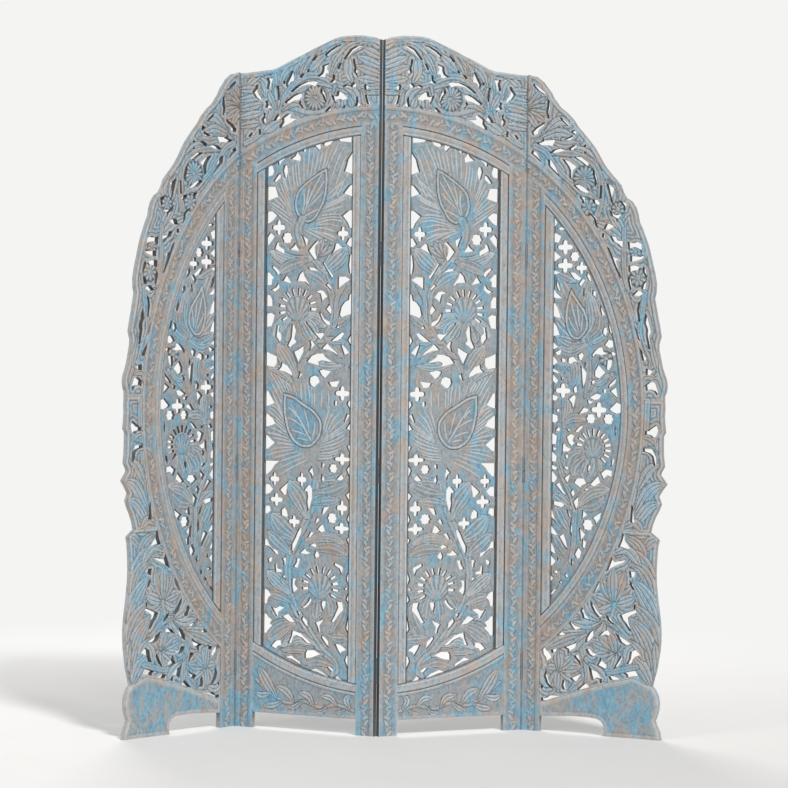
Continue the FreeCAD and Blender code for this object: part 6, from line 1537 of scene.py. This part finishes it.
@dataclass
class Panel:
    """What inner and outer panels share, sizes in centimetres."""
    carver: Carver
    inner: bool = True
    stile_width: float = 5.2
    stile_border: float = 1.15  # from a stile's edge to its vine
    band_border: float = 0.95   # from the band's edge to its vine
    rail_foot: float = 4.2      # height of the bottom rail's lower edge

    def stile(self, middle: float) -> Callable[[CarvedFace], None]:
        """Plan the cut of a stile.

        Args:
            middle: Where its middle lies, centimetres across.

        Returns:
            What cuts it.
        """
        bared = 0.0 if self.inner and middle < PITCH / 2.0 else 0.045

        def design(face: CarvedFace) -> None:
            """Cut the stile: a vine between two border lines.

            Args:
                face: The face being carved.
            """
            across = face.across - middle
            edge = self.stile_width / 2.0 - np.abs(across)
            face.blue += 0.03 * smooth(-edge, -0.9, -0.2)
            Vine(self.stile_width - 2.0 * self.stile_border, 5.6).lay(face, across, face.up)
            face.deep += 0.9 * groove(edge, 0.9, 0.08) + 0.5 * groove(edge, 0.35, 0.07)
            # a dark line of painted shade in the inner border groove
            face.line += 0.25 * groove(edge, 0.9, 0.1)
            face.warm += 0.03 * smooth(-edge, -0.9, -0.3) + bared
            face.blue += 0.05 * (1.0 - smooth(face.up, 5.0, 16.0)) - 0.012
            face.round_over(0.25, 0.12)

        return design

    def band(self, face: CarvedFace) -> None:
        """Cut the band round the figure: a vine between two border lines.

        Args:
            face: The face being carved.
        """
        radius = FIGURE.radius(face, self.inner)
        across = radius - FIGURE.groove - FIGURE.band / 2.0
        edge = FIGURE.band / 2.0 - np.abs(across)
        Vine(FIGURE.band - 2.0 * self.band_border, 6.2).lay(face, across, FIGURE.turn(face, self.inner))
        face.deep += 1.0 * groove(edge, 0.75, 0.08) + 0.5 * groove(edge, 0.3, 0.06)
        # a dark line of painted shade in the border groove, a painted highlight beside it
        face.line += 0.3 * groove(edge, 0.75, 0.1)
        face.ridge += 0.3 * groove(edge, 0.5, 0.12)
        face.warm += 0.045
        face.blue -= 0.006
        face.round_over(1.2, 0.13)

    def rail(self, face: CarvedFace) -> None:
        """Cut the bottom rail: leaves inside a plain border.

        Args:
            face: The face being carved.
        """
        face.deep = np.full(len(face.deep), 1.8)
        border = np.minimum(face.up - self.rail_foot, FIGURE.radius(face, self.inner) - FIGURE.groove)
        strip = 1.0 - smooth(border, 0.75, 0.9)
        self.carver.lay_all(face, RAIL_LEAVES)
        face.deep = face.deep * (1.0 - strip) + 0.4 * strip
        face.deep += 1.3 * groove(border, 0.85, 0.07)
        face.blue += 0.04 * smooth(face.across, 20.0, 30.0)
        face.round_over(1.7, 0.13)

    def parts(self) -> Parts:
        """The panel's boards by name, each with its maker, finish and slot."""
        raise NotImplementedError

    def build(self, right: Stand, left: Stand) -> int:
        """Carve the right-hand panel's boards and stand each in both halves.

        Args:
            right: Stand of the right-hand panel.
            left: Stand of the left-hand panel.

        Returns:
            The number of triangles made.
        """
        total = 0
        for name, (maker, finish, slot) in self.parts().items():
            carved = maker.carve(f"{right.prefix}_{name}", right)
            for stand in (right, left):
                node = f"{stand.prefix}_{name}"
                carved.stand(f"carved_{node}", stand, node, finish, slot)
            count = sum(len(f) - 2 for f in carved.faces)
            total += 2 * count
            log.info("%s carved, %d triangles", name, count)
        return total


@dataclass
class InnerPanel(Panel):
    """One of the two panels beside the centre fold."""

    def crest(self, face: CarvedFace) -> None:
        """Cut the crest board: leaves under a plain upper rim.

        Args:
            face: The face being carved.
        """
        self.carver.veined(face)
        self.carver.lay_all(face, INNER_CREST)
        top = np.interp(face.across, *zip(*CREST_TOP)) - face.up
        rim = 1.0 - smooth(top, 1.4, 1.55)
        face.deep = face.deep * (1 - rim) + 0.4 * rim + 1.8 * groove(top, 1.5, 0.09) + 1.2 * groove(top, 0.6, 0.07)
        foot = FIGURE.radius(face, True) - FIGURE.groove - FIGURE.band
        face.deep += 1.4 * groove(foot, 0.55, 0.07)
        face.round_over(2.6, 0.16)

    def parts(self) -> Parts:
        """List the panel's boards.

        Returns:
            Each board by name, with its maker, finish and slot.
        """
        c = self.carver
        far, middle = PITCH - self.stile_width, self.stile_width / 2.0
        frame_boards = {
            "centre_stile": self.stile(middle), "hinge_stile": self.stile(far + middle),
            "bottom_rail": self.rail, "arch_rail": self.band,
        }
        made = {name: (FrameBoard(c, design), c.frame_paint, "frame_paint") for name, design in frame_boards.items()}
        made["crest_board"] = (FrameBoard(c, self.crest, step=0.22), c.carved_paint, "carved_board_paint")
        for name, bead in (("centre_bead", Bead(c, True, True, self.stile_width)),
                           ("hinge_bead", Bead(c, True, True, far)),
                           ("top_arc_bead", Bead(c, True, False, width=FIGURE.bead)),
                           ("bottom_arc_bead", Bead(c, True, False, width=FIGURE.bead))):
            made[name] = (bead, c.moulding_paint, "moulding_paint")
        made["jali_board"] = (Filling(c, INNER_FILLING), c.pierced_paint, "pierced_board_paint")
        return made


@dataclass
class OuterPanel(Panel):
    """One of the two end panels."""
    inner: bool = False

    def carved(self, face: CarvedFace) -> None:
        """Cut the carved boards outside the band: leaves inside a raised rim.

        Args:
            face: The face being carved.
        """
        self.carver.veined(face)
        self.carver.lay_all(face, OUTER_CARVED)
        rim = groove(face.to_side, 0.3, 0.3)
        # a painted highlight with rubbed paint on the raised rim
        face.ridge = np.maximum(face.ridge, 0.45 * rim)
        face.warm += 0.05 * rim
        face.blue += 0.012 * (1.0 - smooth(face.up, 50.0, 100.0)) - 0.03 * rim
        face.round_over(2.2, 0.16)

    def foot(self, face: CarvedFace) -> None:
        """Cut the plain foot board with its two border lines.

        Args:
            face: The face being carved.
        """
        rim = 1.0 - smooth(face.to_side, 1.0, 1.25)
        drawn = groove(face.to_side + 0.5 * np.sin(face.across * 0.45), 2.9, 0.1) * (face.across > 24.0)
        face.deep += 1.1 * groove(face.to_side, 1.15, 0.12) + 0.7 * drawn
        # dark lines of painted shade in the border grooves, a painted highlight with rubbed paint on the rim
        face.line += 0.35 * groove(face.to_side, 1.15, 0.12) + 0.3 * drawn
        face.ridge += 0.35 * rim
        face.blue += 0.022 - 0.05 * rim + 0.03 * np.sin(face.across * 0.35 - 1.0) * np.cos(face.up * 0.5)
        face.warm += 0.03 * rim + 0.03 * (1.0 - smooth(face.across, 14.0, 26.0))
        face.round_over(1.6, 0.16)

    def parts(self) -> Parts:
        """List the panel's boards.

        Returns:
            Each board by name, with its maker, finish and slot.
        """
        c = self.carver
        made = {
            "hinge_stile": (FrameBoard(c, self.stile(self.stile_width / 2.0)), c.frame_paint, "frame_paint"),
            "upper_arch_rail": (FrameBoard(c, self.band), c.frame_paint, "frame_paint"),
            "lower_arch_rail": (FrameBoard(c, self.band), c.frame_paint, "frame_paint"),
            "foot_board": (FrameBoard(c, self.foot, step=0.3), c.carved_paint, "carved_board_paint"),
            "hinge_bead": (Bead(c, False, True, self.stile_width), c.moulding_paint, "moulding_paint"),
            "arc_bead": (Bead(c, False, False, width=FIGURE.bead), c.moulding_paint, "moulding_paint"),
            "jali_board": (Filling(c, OUTER_FILLING), c.pierced_paint, "pierced_board_paint"),
        }
        for name in ("crest_board", "side_board", "spandrel_board"):
            made[name] = (FrameBoard(c, self.carved, step=0.22), c.carved_paint, "carved_board_paint")
        return made


@dataclass
class Fittings:
    """Hinges, screws, pins and dowels: the frame's own shapes, dressed."""
    carver: Carver

    @property
    def finishes(self) -> dict[str, bpy.types.Material]:
        """The finish of each kind of fitting, by the ending of its name."""
        c = self.carver
        return {"_leaves": c.steel, "_pins": c.steel, "_screws": c.screw_steel, "_dowels": c.bare_wood}

    def dress(self) -> int:
        """Give each fitting its finish.

        Returns:
            The number of fittings dressed.
        """
        count = 0
        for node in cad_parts:
            for ending, finish in self.finishes.items():
                if node.endswith(ending):
                    slots = bpy.data.objects[node].data.materials
                    slots.clear()
                    slots.append(finish)
                    count += 1
        return count


@dataclass
class Studio:
    """Pale floor, soft lamps and the camera of the photograph."""
    eye: tuple[float, float, float] = (0.9847, -7.8207, 1.0848)
    look: tuple[float, float, float] = (-0.1236, 0.9921, -0.0232)
    roll: float = 0.59          # degrees
    lens: float = 137.0         # millimetres
    sky_light: float = 0.34
    window_light: float = 2.2
    window_width: float = 9.0   # degrees
    window_way: tuple[float, float, float] = (-0.42, 0.62, -0.66)

    @staticmethod
    def pale(name: str, colour: Colour) -> bpy.types.Material:
        """Mix a matt floor that looks the same in mirrors as from the camera, and keeps its shadow.

        Args:
            name: The finish's name.
            colour: The floor's paler patches.

        Returns:
            Its material.
        """
        made, g, shader = Finish(name).started()
        where = g.node("ShaderNodeTexCoord").outputs["Object"]
        g.feed(shader.inputs["Base Color"], g.mix(g.noise(where, 3.0), colour, paint(226, 225, 223)))
        shader.inputs["Roughness"].default_value = 0.85
        far = g.node("ShaderNodeVectorMath", operation="LENGTH")
        g.feed(far.inputs[0], where)
        wall = g.node("ShaderNodeEmission")
        wall.inputs["Color"].default_value = WALL
        rays = g.node("ShaderNodeLightPath")
        seen = g.math("MAXIMUM", rays.outputs["Is Camera Ray"], rays.outputs["Is Glossy Ray"])
        both = g.node("ShaderNodeMixShader")
        g.feed(both.inputs[0], g.math("MULTIPLY", seen, g.step(far.outputs["Value"], 0.9, 3.4)))
        g.feed(both.inputs[1], shader.outputs[0])
        g.feed(both.inputs[2], wall.outputs[0])
        out = next(n for n in made.node_tree.nodes if n.type == "OUTPUT_MATERIAL")
        g.feed(out.inputs["Surface"], both.outputs[0])
        return made

    def floor(self) -> None:
        """Lay the floor."""
        bpy.ops.object.select_all(action="DESELECT")
        bpy.ops.mesh.primitive_plane_add(size=60.0, location=(0.0, 0.0, 0.0))
        ground = bpy.context.object
        ground.name = "studio_floor"
        ground.data.materials.append(self.pale("studio floor", paint(232, 231, 229)))

    def world(self) -> None:
        """Light the room softly, with a pale wall behind for the camera and for mirrors."""
        made = bpy.data.worlds.new("studio")
        made.use_nodes = True
        bpy.context.scene.world = made
        g = Graph(made.node_tree)
        sky = next(n for n in made.node_tree.nodes if n.type == "BACKGROUND")
        out = next(n for n in made.node_tree.nodes if n.type == "OUTPUT_WORLD")
        sky.inputs["Color"].default_value = (1.0, 0.985, 0.965, 1.0)
        sky.inputs["Strength"].default_value = self.sky_light
        wall = g.node("ShaderNodeBackground")
        wall.inputs["Color"].default_value = WALL
        wall.inputs["Strength"].default_value = 1.0
        rays = g.node("ShaderNodeLightPath")
        seen = g.math("MAXIMUM", rays.outputs["Is Camera Ray"], rays.outputs["Is Glossy Ray"])
        seen = g.math("MAXIMUM", seen, rays.outputs["Is Transmission Ray"])
        both = g.node("ShaderNodeMixShader")
        g.feed(both.inputs[0], seen)
        g.feed(both.inputs[1], sky.outputs[0])
        g.feed(both.inputs[2], wall.outputs[0])
        g.feed(out.inputs["Surface"], both.outputs[0])

    @staticmethod
    def lamp(name: str, place: tuple[float, float, float], size: float, power: float, aim: Vector) -> None:
        """Hang a square soft lamp.

        Args:
            name: The lamp's name.
            place: Where it hangs, metres.
            size: Its width, metres.
            power: Its power, watts.
            aim: The point that it looks at.
        """
        light = bpy.data.lights.new(name, "AREA")
        light.size, light.energy = size, power
        hung = bpy.data.objects.new(name, light)
        hung.location = place
        hung.rotation_euler = (aim - Vector(place)).to_track_quat("-Z", "Y").to_euler()
        bpy.context.scene.collection.objects.link(hung)

    def build(self) -> None:
        """Set up the floor, the lamps and the camera."""
        self.floor()
        self.world()
        middle = Vector((0.0, 0.0, 0.95))
        self.lamp("left lamp", (-3.0, -3.8, 2.6), 2.0, 60.0, middle)
        self.lamp("back lamp", (-1.5, 4.2, 3.6), 2.4, 120.0, middle)
        day = bpy.data.lights.new("window light", "SUN")
        day.energy, day.angle = self.window_light, math.radians(self.window_width)
        window = bpy.data.objects.new("window light", day)
        window.rotation_euler = Vector(self.window_way).to_track_quat("-Z", "Y").to_euler()
        bpy.context.scene.collection.objects.link(window)
        view = bpy.data.cameras.new("camera")
        view.lens, view.sensor_width = self.lens, 36.0
        camera = bpy.data.objects.new("camera", view)
        look = Vector(self.look).to_track_quat("-Z", "Y").to_matrix().to_4x4()
        tilt = Matrix.Rotation(math.radians(self.roll), 4, "Z")
        camera.matrix_world = Matrix.Translation(Vector(self.eye)) @ look @ tilt
        bpy.context.scene.collection.objects.link(camera)
        bpy.context.scene.camera = camera
        bpy.context.scene.view_settings.view_transform = "Standard"


def main() -> None:
    """Build the screen and its studio."""
    logging.basicConfig(level=logging.INFO, format="%(message)s")
    carver = Carver()
    inner = InnerPanel(carver).build(RIGHT_INNER, LEFT_INNER)
    log.info("inner panels carved, %d triangles", inner)
    outer = OuterPanel(carver).build(RIGHT_OUTER, LEFT_OUTER)
    log.info("outer panels carved, %d triangles", outer)
    log.info("%d fittings dressed", Fittings(carver).dress())
    Studio().build()


if __name__ == "__main__":
    main()
